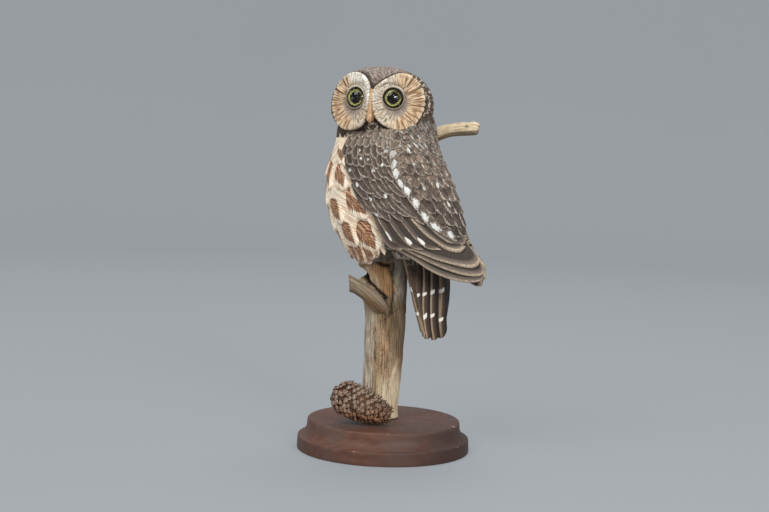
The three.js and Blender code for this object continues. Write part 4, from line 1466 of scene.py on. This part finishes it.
# The bill from brow to tip: forward, up, half width, depth
BILL_SECTIONS = [[29.0, 11, 1.1, 6], [30.8, 4, 1.7, 8], [32.3, -3.5, 2.3, 9], [32.9, -8, 2.9, 8],
                 [32.4, -10.6, 2.5, 6], [30.9, -12.8, 0.8, 2.4]]


def bill():
    """The bill, round in front and flatter behind."""
    share = np.linspace(0, 1, 36)
    forward, up, half, depth = (curve(BILL_SECTIONS, share)[:, k:k + 1] for k in range(4))
    angle = circle(24)
    side = np.sin(angle)
    back = (1 - np.cos(angle)) / 2
    rings = head_point(side * half * (1 - 0.15 * back), forward - back * depth, up)
    return owl_part("bill", rings, BILL, feather=together(share[:, None], side, 0))


def make_owl():
    draw = np.random.default_rng(OWL_SEED)
    parts = [wing_layer(), tail_core(), head_block(), bill()]
    plates = wing_plates(1, draw) + wing_plates(-1, draw) + breast_plates(draw) + tail_plates()
    parts += [plate.build() for plate in plates]
    for side in (1, -1):
        parts += [disc(side), lids(side)]
    body = combined("owl_body", torso_core(), parts, "UNION")
    cuts = [sphere("socket", eye_centre(side), EYE["ball"] + GAP) for side in (1, -1)]
    owl = combined("owl_carving", body, cuts + perch_limbs(GAP), "DIFFERENCE")
    keep_largest(owl)
    return owl


def keep_largest(obj):
    """Drops loose islands, all but the one with the most points."""
    shape = bmesh.new()
    shape.from_mesh(obj.data)
    left = set(shape.verts)
    islands = []
    while left:
        found = [left.pop()]
        for vert in found:
            for edge in vert.link_edges:
                other = edge.other_vert(vert)
                if other in left:
                    left.remove(other)
                    found.append(other)
        islands.append(found)
    islands.sort(key=len)
    for island in islands[:-1]:
        for vert in island:
            shape.verts.remove(vert)
    shape.to_mesh(obj.data)
    shape.free()


# The eyes

EYE_BACK = 3.0  # from the ball's centre to the painted back of the glass
# The iris from its middle to its rim, and behind it: share of its reach, depth
IRIS_FRONT = [0.02, 0.2, 0.35, 0.45, 0.55, 0.65, 0.75, 0.85]
IRIS_BEHIND = [[1.0, -0.1], [0.9, -4.5], [0.5, -8.5], [0.1, -10.5]]


def make_eye(name, side, iris_material, glass_material):
    """A clear dome of glass, with its painted back just behind it."""
    forward, across, up = eye_axes(side)
    centre = eye_centre(side)
    ball = EYE["ball"]
    around = circle(64)[None, :]

    def turned(reach, depth):
        return placed(centre, (across, reach * np.cos(around)), (up, reach * np.sin(around)),
                      (forward, depth))

    flat = EYE_BACK + 0.2
    rim = math.acos(flat / ball)
    polar = np.linspace(rim, 0.03, 24)[:, None]
    reach = np.concatenate([[[0.3]], [[ball * math.sin(rim) * 0.6]], ball * np.sin(polar)])
    depth = np.concatenate([[[flat]], [[flat]], ball * np.cos(polar)])
    glass = loft(name + "_glass", turned(reach, depth), materials=[glass_material])

    wide = math.sqrt(ball ** 2 - EYE_BACK ** 2) - 0.15
    rows = np.array([[share, 0] for share in IRIS_FRONT] + IRIS_BEHIND)
    share, deep = rows[:, :1], rows[:, 1:]
    turn = np.linspace(0, 1, 64, endpoint=False)[None, :]
    dark_at = 0.11 if side > 0 else 0.47
    shaded = smooth(np.cos(2 * math.pi * (turn - dark_at)), 0.25, 0.95)
    values = together(np.maximum(share, (deep < 0) * 1.0), turn, shaded)
    iris = loft(name + "_iris", turned(share * wide, EYE_BACK + 0.35 + deep), {"feather": values},
                materials=[iris_material])
    for obj in (glass, iris):
        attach(obj, "root")
    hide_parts(name)


# The driftwood

FOOT = 22 + GAP
WOOD_VOXEL = 0.62
STUB_END = (-28.5, -14.5, 121.6)
# x, y, z and radius along each limb
LIMBS = {
    "trunk": [[-2.8, 4, FOOT, 13.8], [-2.8, 4, 32, 13.4], [-1.7, 4, 55, 14.3], [-1.0, 4, 80, 15],
              [-1.0, 3.5, 100, 15.1], [-5.5, 1.5, 116, 14], [-9, -0.5, 129, 13], [-10.5, -1, 137.5, 11.5]],
    "stub": [[-1, -5, 101.5, 7.2], [-8, -10.5, 108, 6.5], [-15, -13, 114.4, 6], [-22, -14, 118.8, 5.5],
             [*STUB_END, 5.6]],
    "rear": [[2.5, 6, 94, 10.5], [3.5, 9, 112, 10.5], [4.5, 20, 130, 9.8], [7, 40, 152, 8.4],
             [10, 50, 180, 7], [15, 49, 206, 6.2], [22, 45, 222, 5.9], [40, 39.5, 231.9, 5.5],
             [60.6, 35.4, 234.5, 5.3], [64.4, 34.9, 234.2, 3.6]],
    "stump": [[3.5, 4, 100, 10.5], [4.8, 3.5, 124, 9.8], [5.2, 3, 147, 8.6]],
}
TRUNK, STUB, REAR = range(3)
LIMB_WOBBLE = {"trunk": (0.035, 0.6), "stub": (0.06, 1.1), "rear": (0.05, 2.3), "stump": (0.05, 0.2)}


def limb_line(name, steps):
    """Centres, radii, directions and two cross directions along a limb."""
    share = np.linspace(0, 1, steps)
    rows = np.array(LIMBS[name], float)
    centre = curve(rows[:, :3], share)
    radius = np.interp(share * (len(rows) - 1), np.arange(len(rows)), rows[:, 3])
    way = unit(np.gradient(centre, axis=0))
    first = np.empty_like(way)
    first[0] = unit(np.cross(way[0], [0.0, 1.0, 0.15]))
    for k in range(1, steps):
        first[k] = unit(first[k - 1] - way[k] * (first[k - 1] @ way[k]))
    return centre, radius, way, first, np.cross(way, first)


def perch_limbs(grow, steps=40, sides=28):
    """The limbs as closed tubes with soft ridges, made fatter by grow."""
    made = []
    for name in LIMBS:
        centre, radius, way, first, second = limb_line(name, steps)
        wobble, phase = LIMB_WOBBLE[name]
        angle = circle(sides)[None, :]
        place = np.linspace(0, 1, steps)[:, None]
        ridges = np.sin(3 * angle + phase) + 0.7 * np.sin(5 * angle + 3 * place)
        reach = radius[:, None] * (1 + wobble * ridges) - 0.35 + grow
        centre[0] -= way[0] * grow
        centre[-1] += way[-1] * grow
        rings = placed(centre[:, None], (first[:, None], np.cos(angle) * reach),
                       (second[:, None], np.sin(angle) * reach))
        made.append(loft("limb_" + name, rings))
    return made


def line_distance(points, line):
    """Distance of (x, z) points to a chain of straight stretches."""
    best = np.full(len(points), 1e9)
    for a, b in zip(line[:-1], line[1:]):
        a, b = np.array(a, float), np.array(b, float)
        t = np.clip(((points - a) @ (b - a)) / ((b - a) @ (b - a)), 0, 1)
        best = np.minimum(best, np.linalg.norm(points - a - t[:, None] * (b - a), axis=1))
    return best


def dome(points, centre, size):
    """1 at the centre, falling off over the size."""
    return np.exp(-(np.linalg.norm(points - np.array(centre), axis=1) / size) ** 2)


# Cracks of the perch's near side: (x, z) points, half width, depth and darkness
CRACKS = [
    ([(-28, 133), (-23, 129.8)], 3.4, 6.5, 1.0),
    ([(-22, 129), (-16.5, 123.6)], 1.9, 4.5, 1.0),
    ([(-16.5, 123.6), (-10, 119), (-4.8, 114.4), (0, 110.8)], 0.95, 2.6, 1.0),
    ([(3.3, 136), (3.6, 127), (4.6, 114), (3.0, 100)], 1.0, 1.6, 0.7),
    ([(-8.4, 90), (-8.6, 78), (-7.8, 64)], 0.45, 0.6, 0.75),
    ([(-9.4, 56), (-9.2, 46), (-9.4, 38)], 0.5, 0.7, 0.6),
    ([(-4.1, 93.1), (1.5, 97.2), (7.4, 102.8)], 0.45, 0.4, 0.5),
    ([(-6.5, 103), (-2.6, 99), (1.7, 96.7)], 0.4, 0.3, 0.35),
    ([(-7.5, 136.5), (-3, 135), (0.5, 134.6)], 1.6, 2.0, 0.85),
]
# Knobs and hollows near the end of the branch: place, size and height
KNOBS = [((60, 35, 238.5), 2.6, 1.0), ((51, 34, 239), 4.0, 0.7), ((56.5, 30, 236), 1.8, -1.5),
         ((62, 31, 231.5), 2.5, 0.9), ((63, 30, 236), 1.6, -1.2), ((33, 36, 236), 5.0, 0.5)]
KNOT_HOLE = (54.5, 32.5, 236.3)
# The notch between the stub and the block above it, whose darkness is painted shade, the edge of the planed
# face and a pale strip
NOTCH = [(-34, 133), (-24, 129.5), (-19, 126.3), (-15, 122.5)]
PLANED = [(-6.5, 133), (-1.5, 127), (0.5, 117)]
PALE_STRIP = [(9.3, 66), (5.7, 55.7), (4.7, 46.9), (4.9, 26)]


def wood_skin():
    """The limbs run together and eased into one mesh."""
    limbs = perch_limbs(0, steps=90, sides=56)
    whole = combined("perch_wood", limbs[0], limbs[1:], "UNION")
    melt = whole.modifiers.new("melt", "REMESH")
    melt.mode, melt.voxel_size = "VOXEL", WOOD_VOXEL * MM
    ease = whole.modifiers.new("ease", "SMOOTH")
    ease.factor, ease.iterations = 0.5, 6
    graph = bpy.context.evaluated_depsgraph_get()
    mesh = bpy.data.meshes.new_from_object(whole.evaluated_get(graph))
    bpy.data.objects.remove(whole)
    return mesh


class Driftwood:
    """The perch's mesh and what is known at each of its points."""

    def __init__(self):
        self.mesh = wood_skin()
        points = np.zeros(len(self.mesh.vertices) * 3)
        self.mesh.vertices.foreach_get("co", points)
        self.points = points.reshape(-1, 3) / MM
        self.x, _, self.z = self.points.T
        self.flat = self.points[:, [0, 2]]
        self.normals = np.array([v.normal[:] for v in self.mesh.vertices])
        self.near_side = smooth(-self.normals[:, 1], 0.05, 0.45)
        self.measure()
        ring = np.stack([np.cos(self.around) * self.radius, np.sin(self.around) * self.radius], -1)
        self.fibre = grain(np.column_stack([ring * 0.55, self.along * 0.03 + self.limb * 9]), 1.0, 1)
        self.strand = grain(np.column_stack([ring * 1.5, self.along * 0.07 + self.limb * 5]), 1.0, 2)
        self.broken = grain(np.column_stack([ring * 0.9, self.limb * 4]), 1.0, 6)

    def measure(self):
        """The nearest limb, the place along and angle round it, its radius and the way to its end."""
        count = len(self.points)
        best = np.full(count, 1e9)
        found = np.zeros((5, count))
        for number, name in enumerate(LIMBS):
            centre, radius, way, first, second = limb_line(name, 50)
            run = np.concatenate([[0], np.cumsum(np.linalg.norm(np.diff(centre, axis=0), axis=1))])
            k = np.argmin(np.linalg.norm(self.points[:, None] - centre[None], axis=2), axis=1)
            off = self.points - centre[k]
            forward = (off * way[k]).sum(1)
            side = np.linalg.norm(off - way[k] * forward[:, None], axis=1)
            score = np.maximum(side, np.abs(forward)) / radius[k] * (1.12 if number == STUB else 1)
            angle = np.arctan2((off * second[k]).sum(1), (off * first[k]).sum(1))
            here = (np.full(count, number), run[k] + forward, angle, radius[k], run[-1] - run[k] - forward)
            found = np.where(score < best, here, found)
            best = np.minimum(score, best)
        self.limb, self.along, self.around, self.radius, self.end_near = found

    def end_of(self, limb, near, reach):
        """1 where a limb is closer to its end than near, fading over reach."""
        return (self.limb == limb) * smooth(near - self.end_near, 0, reach)

    def carve(self):
        """Relief, cracks, knobs, the notch, the planed face and the splintered ends."""
        points, end_near = self.points, self.end_near
        push = 0.32 * self.fibre + 0.2 * self.strand + 0.4 * grain(points, 0.09, 3) - 0.3
        waver = np.stack([grain(points, 0.35, 4), grain(points, 0.35, 5)], -1) * 0.8
        crack = 0.75 * dome(points, KNOT_HOLE, 1.6)
        for line, half, deep, dark in CRACKS:
            close = np.exp(-(line_distance(self.flat + waver, line) / half) ** 2) * self.near_side
            push -= deep * close
            crack = np.maximum(crack, dark * smooth(close, 0.25, 0.8))
        for knob, size, tall in KNOBS:
            push += tall * dome(points, knob, size)
        way_stub = unit(np.array([-6.5, -1, 4.5]))
        self.above_stub = (points - np.array(STUB_END)) @ unit(np.array([4.5, 0, 6.5]))
        shear = np.where(self.limb == STUB, self.above_stub, 0) * 0.6 * smooth(9 - end_near, 0, 9)
        moved = points + self.normals * push[:, None] + way_stub * shear[:, None]
        notch = line_distance(self.flat + waver, NOTCH)
        notch = np.where(self.limb == TRUNK, np.exp(-(notch / 3.0) ** 4), 0) * smooth(-self.x, 13, 16)
        moved += np.array([0.8, 0.6, 0]) * (7.5 * notch)[:, None]
        # Painted shade: the notch under the block is darkened along with the cracks.
        self.crack = np.maximum(crack, smooth(notch, 0.15, 0.6))
        moved -= way_stub * ((1.6 + 1.7 * self.broken) * self.end_of(STUB, 1.5, 2.5))[:, None]
        moved[:, 0] -= (0.5 + 0.7 * self.broken) * self.end_of(REAR, 1.2, 2.0)
        above_stub_line = self.z - (118 - 0.72 * (self.x + 8))
        self.cut = (smooth(-line_distance(self.flat, PLANED), -6.5, -4.2) * smooth(above_stub_line, -1.5, 1.5)
                    * self.near_side)
        moved[:, 1] += 0.9 * self.cut
        moved[:, 2] = np.maximum(moved[:, 2], FOOT)
        self.mesh.vertices.foreach_set("co", (moved * MM).ravel())

    def tints(self):
        """Where the wood is grey, pale, light or knotty and dark; light also holds painted light on the tops
        of the upper branch, and knot painted shade under it.
        """
        x, z, fibre, stub, up = self.x, self.z, self.fibre, self.limb == STUB, self.normals[:, 2]
        grey = smooth(x, 2.8, 4.5) * smooth(z, 104, 116) * (1 - smooth(z, 156, 175))
        grey = np.maximum(grey, 0.4 * stub * smooth(up + self.normals[:, 0] * 0.3, -0.5, 0.3))
        pale_grey = 0.12 * stub * smooth(z, 106, 113)
        pale_grey = pale_grey + 0.8 * smooth(-x + fibre, 8.2, 9.8) * (1 - smooth(z, 92, 106))
        upper = smooth(z, 200, 222)
        light = 0.9 * (1 - smooth(z, 38, 64)) * smooth(x, -8, -2)
        # Painted light: on the upper branch, the surfaces that face up are lighter.
        light = np.maximum(light, 0.95 * upper * smooth(up + 0.25 * fibre, -0.35, -0.15))
        strip = np.exp(-(line_distance(self.flat, PALE_STRIP) / 1.3) ** 2) * self.near_side
        light = np.maximum(light, strip)
        knot = smooth(z + 2.4 * (x - 4), 62, 90) * (1 - smooth(z, 112, 122)) * smooth(x, -12, -3)
        # The stub and the branch's end are darker wood; the upper branch's surfaces that face down get
        # painted shade.
        for dark in (0.8 * stub, 0.6 * self.end_of(REAR, 2.2, 2.0),
                     0.75 * upper * smooth(-up - 0.25 * fibre, 0.15, 0.35)):
            knot = np.maximum(knot, dark)
        torn = stub * smooth(3.2 - self.end_near + fibre, 0, 2.5) * smooth(self.above_stub, -3, 2)
        return {"grain": np.stack([self.along, self.around * self.radius, self.limb * 5], -1),
                "zone": np.stack([np.maximum(self.cut, 0.9 * torn), np.clip(grey, 0, 1), self.crack], -1),
                "tint": np.stack([light, knot, pale_grey], -1)}

    def write(self, values):
        """Puts the values on the corners; the angle's jump round a limb keeps to one side of each face."""
        mesh = self.mesh
        corner = corner_points(mesh)
        starts, totals = np.zeros((2, len(mesh.polygons)), np.int32)
        mesh.polygons.foreach_get("loop_start", starts)
        mesh.polygons.foreach_get("loop_total", totals)
        face = np.repeat(np.arange(len(starts)), totals)
        reference = self.around[corner[starts]][face]
        own = self.around[corner]
        own = np.where(own - reference > math.pi, own - 2 * math.pi, own)
        own = np.where(own - reference < -math.pi, own + 2 * math.pi, own)
        for key, value in values.items():
            data = value[corner]
            if key == "grain":
                data[:, 1] = own * self.radius[corner]
            put_values(mesh, key, data)


def make_perch(material):
    """The driftwood, carved and tinted."""
    wood = Driftwood()
    wood.carve()
    wood.write(wood.tints())
    wood.mesh.materials.clear()
    wood.mesh.materials.append(material)
    wood.mesh.polygons.foreach_set("use_smooth", np.ones(len(wood.mesh.polygons), bool))
    return linked("driftwood_perch", wood.mesh)


# The pine cone

CONE_SCALES = 236
CONE_FROM, CONE_TO = np.array([-37.0, -25.5, 43.6]), np.array([4.2, -27.5, 29.0])
CONE_GIRTH = [(0, 5.2), (0.06, 8.6), (0.14, 10.9), (0.28, 12), (0.5, 11.3), (0.7, 9.5), (0.88, 6.8), (1, 4.4)]
CONE_AXIS = unit(CONE_TO - CONE_FROM)
CONE_LENGTH = np.linalg.norm(CONE_TO - CONE_FROM)
CONE_SIDE = unit(np.cross([0, -1.0, 0], CONE_AXIS))
CONE_FRONT = np.cross(CONE_AXIS, CONE_SIDE)
# Along a scale: share of the reach, rise above it, slide to the tip, half width, half thickness
SCALE_STATIONS = [[0.5, 0, -3.4, 1.0, 0.5], [0.8, 0, -1.8, 1.9, 0.8], [0.95, 0, -0.6, 2.4, 1.0],
                  [1.0, 0.3, 0.6, 2.35, 1.15], [1.0, 0.75, 1.5, 1.75, 0.95], [1.0, 1.1, 2.1, 0.8, 0.55],
                  [1.0, 1.7, 2.7, 0.45, 0.36], [1.0, 2.5, 3.2, 0.25, 0.22]]


def cone_radius(t):
    return np.interp(t, *np.array(CONE_GIRTH, float).T)


def cone_points(t, angle, reach, slide=0.0):
    """Points at a share t of the cone's length, an angle round it and a reach from its axis."""
    return placed(CONE_FROM, (CONE_AXIS, np.asarray(t * CONE_LENGTH + slide)),
                  (CONE_SIDE, np.cos(angle) * reach), (CONE_FRONT, np.sin(angle) * reach))


def cone_core(material):
    """The spindle that the scales stand on."""
    rows, cols = 30, 40
    share = np.linspace(0, 1, rows)[:, None]
    rounding = np.sqrt(np.clip(np.sin(math.pi * (0.1 + 0.8 * share)), 0, 1))
    points = cone_points(share, circle(cols)[None, :], cone_radius(share) * 0.94 * rounding)
    return loft("cone_core", points, {"scale": np.zeros((rows, cols, 3))}, materials=[material])


def cone_scale(t, turn, draw, material):
    """One scale at a place t along the cone, turned round it."""
    steps = 14
    share, rise, slide, half, thick = curve(SCALE_STATIONS, np.linspace(0, 1, steps)).T[..., None]
    roll = circle(10)[None, :]
    size = (0.52 + 0.34 * math.sin(math.pi * (0.15 + 0.7 * t))) * draw.uniform(0.78, 1.18)
    upward = max(0.0, float((CONE_SIDE * math.cos(turn) + CONE_FRONT * math.sin(turn))[2]))
    reach = (float(cone_radius(t)) - 0.7 + draw.uniform(-0.7, 0.6)) * (1 + 0.06 * upward)
    ends = 1 - 0.3 * smooth(t, 0.95, 1.0) - 0.3 * (1 - smooth(t, 0.0, 0.06))
    out = share * reach * ends + rise * size + thick * np.sin(roll) * size
    spread = turn + half * np.cos(roll) * size / max(reach, 3.0)
    root = mix(0.25, 1, smooth(t, 0.02, 0.14))
    slip = np.where(slide < 0, root, 1) * slide * size - 0.35 * thick * np.sin(roll) + draw.uniform(-0.7, 0.7)
    rings = cone_points(t, spread, out, slip)
    rings[..., 2] = np.maximum(rings[..., 2], FOOT + 0.05)
    values = together(np.linspace(0, 1, steps)[:, None], np.cos(roll), draw.random())
    return loft("cone_scale", rings, {"scale": values}, materials=[material])


def make_cone(material):
    draw = np.random.default_rng(CONE_SEED)
    core = cone_core(material)
    scales = []
    for i in range(CONE_SCALES):
        turn = i * GOLDEN_TURN + draw.uniform(-0.16, 0.16)
        scales.append(cone_scale((i + 0.5) / CONE_SCALES, turn, draw, material))
    return combined("pine_cone_scales", core, scales, "UNION")


# The base

# Radius and height
BASE_PROFILE = [
    (0.4, 0), (61.8, 0), (62.4, 0.4), (62.5, 1.4), (62.3, 5), (62.1, 8.7), (61.9, 9.4), (61.4, 9.7),
    (59.9, 9.9), (58.6, 10.9), (57.1, 12.6), (56.1, 14.6), (55.6, 16.4), (55.4, 18.4), (55.3, 20.6),
    (55.0, 21.4), (54.3, 21.9), (53.2, 22.0), (0.4, 22.0),
]


def make_base(material):
    """The profile with its corners cut once and its flat faces parted into rings, then spun."""
    corners = np.array(BASE_PROFILE, float)
    before, after = corners[:-1], corners[1:]
    cut = np.stack([0.75 * before + 0.25 * after, 0.25 * before + 0.75 * after], 1).reshape(-1, 2)
    corners = np.concatenate([corners[:1], cut, corners[-1:]])
    rows = []
    for row, following in zip(corners[:-1], corners[1:]):
        rows.append(row[None])
        if abs(following[0] - row[0]) > 20:
            rows.append(mix(row, following, np.linspace(0, 1, 10)[1:-1, None]))
    rows = np.concatenate([*rows, corners[-1:]])
    return loft("turned_base", spun(rows, 160), materials=[material])


# Making

place_camera()
light_studio()
lay_floor()
made = {"owl": make_owl(), "perch": make_perch(driftwood_paint()), "pine_cone": make_cone(cone_paint()),
        "base": make_base(base_paint())}
for node, obj in made.items():
    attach(obj, "root")
    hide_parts(node)
iris_look, glass_look = iris_paint(), glass_paint()
for node, facing_side in (("left_eye", 1), ("right_eye", -1)):
    make_eye(node, facing_side, iris_look, glass_look)
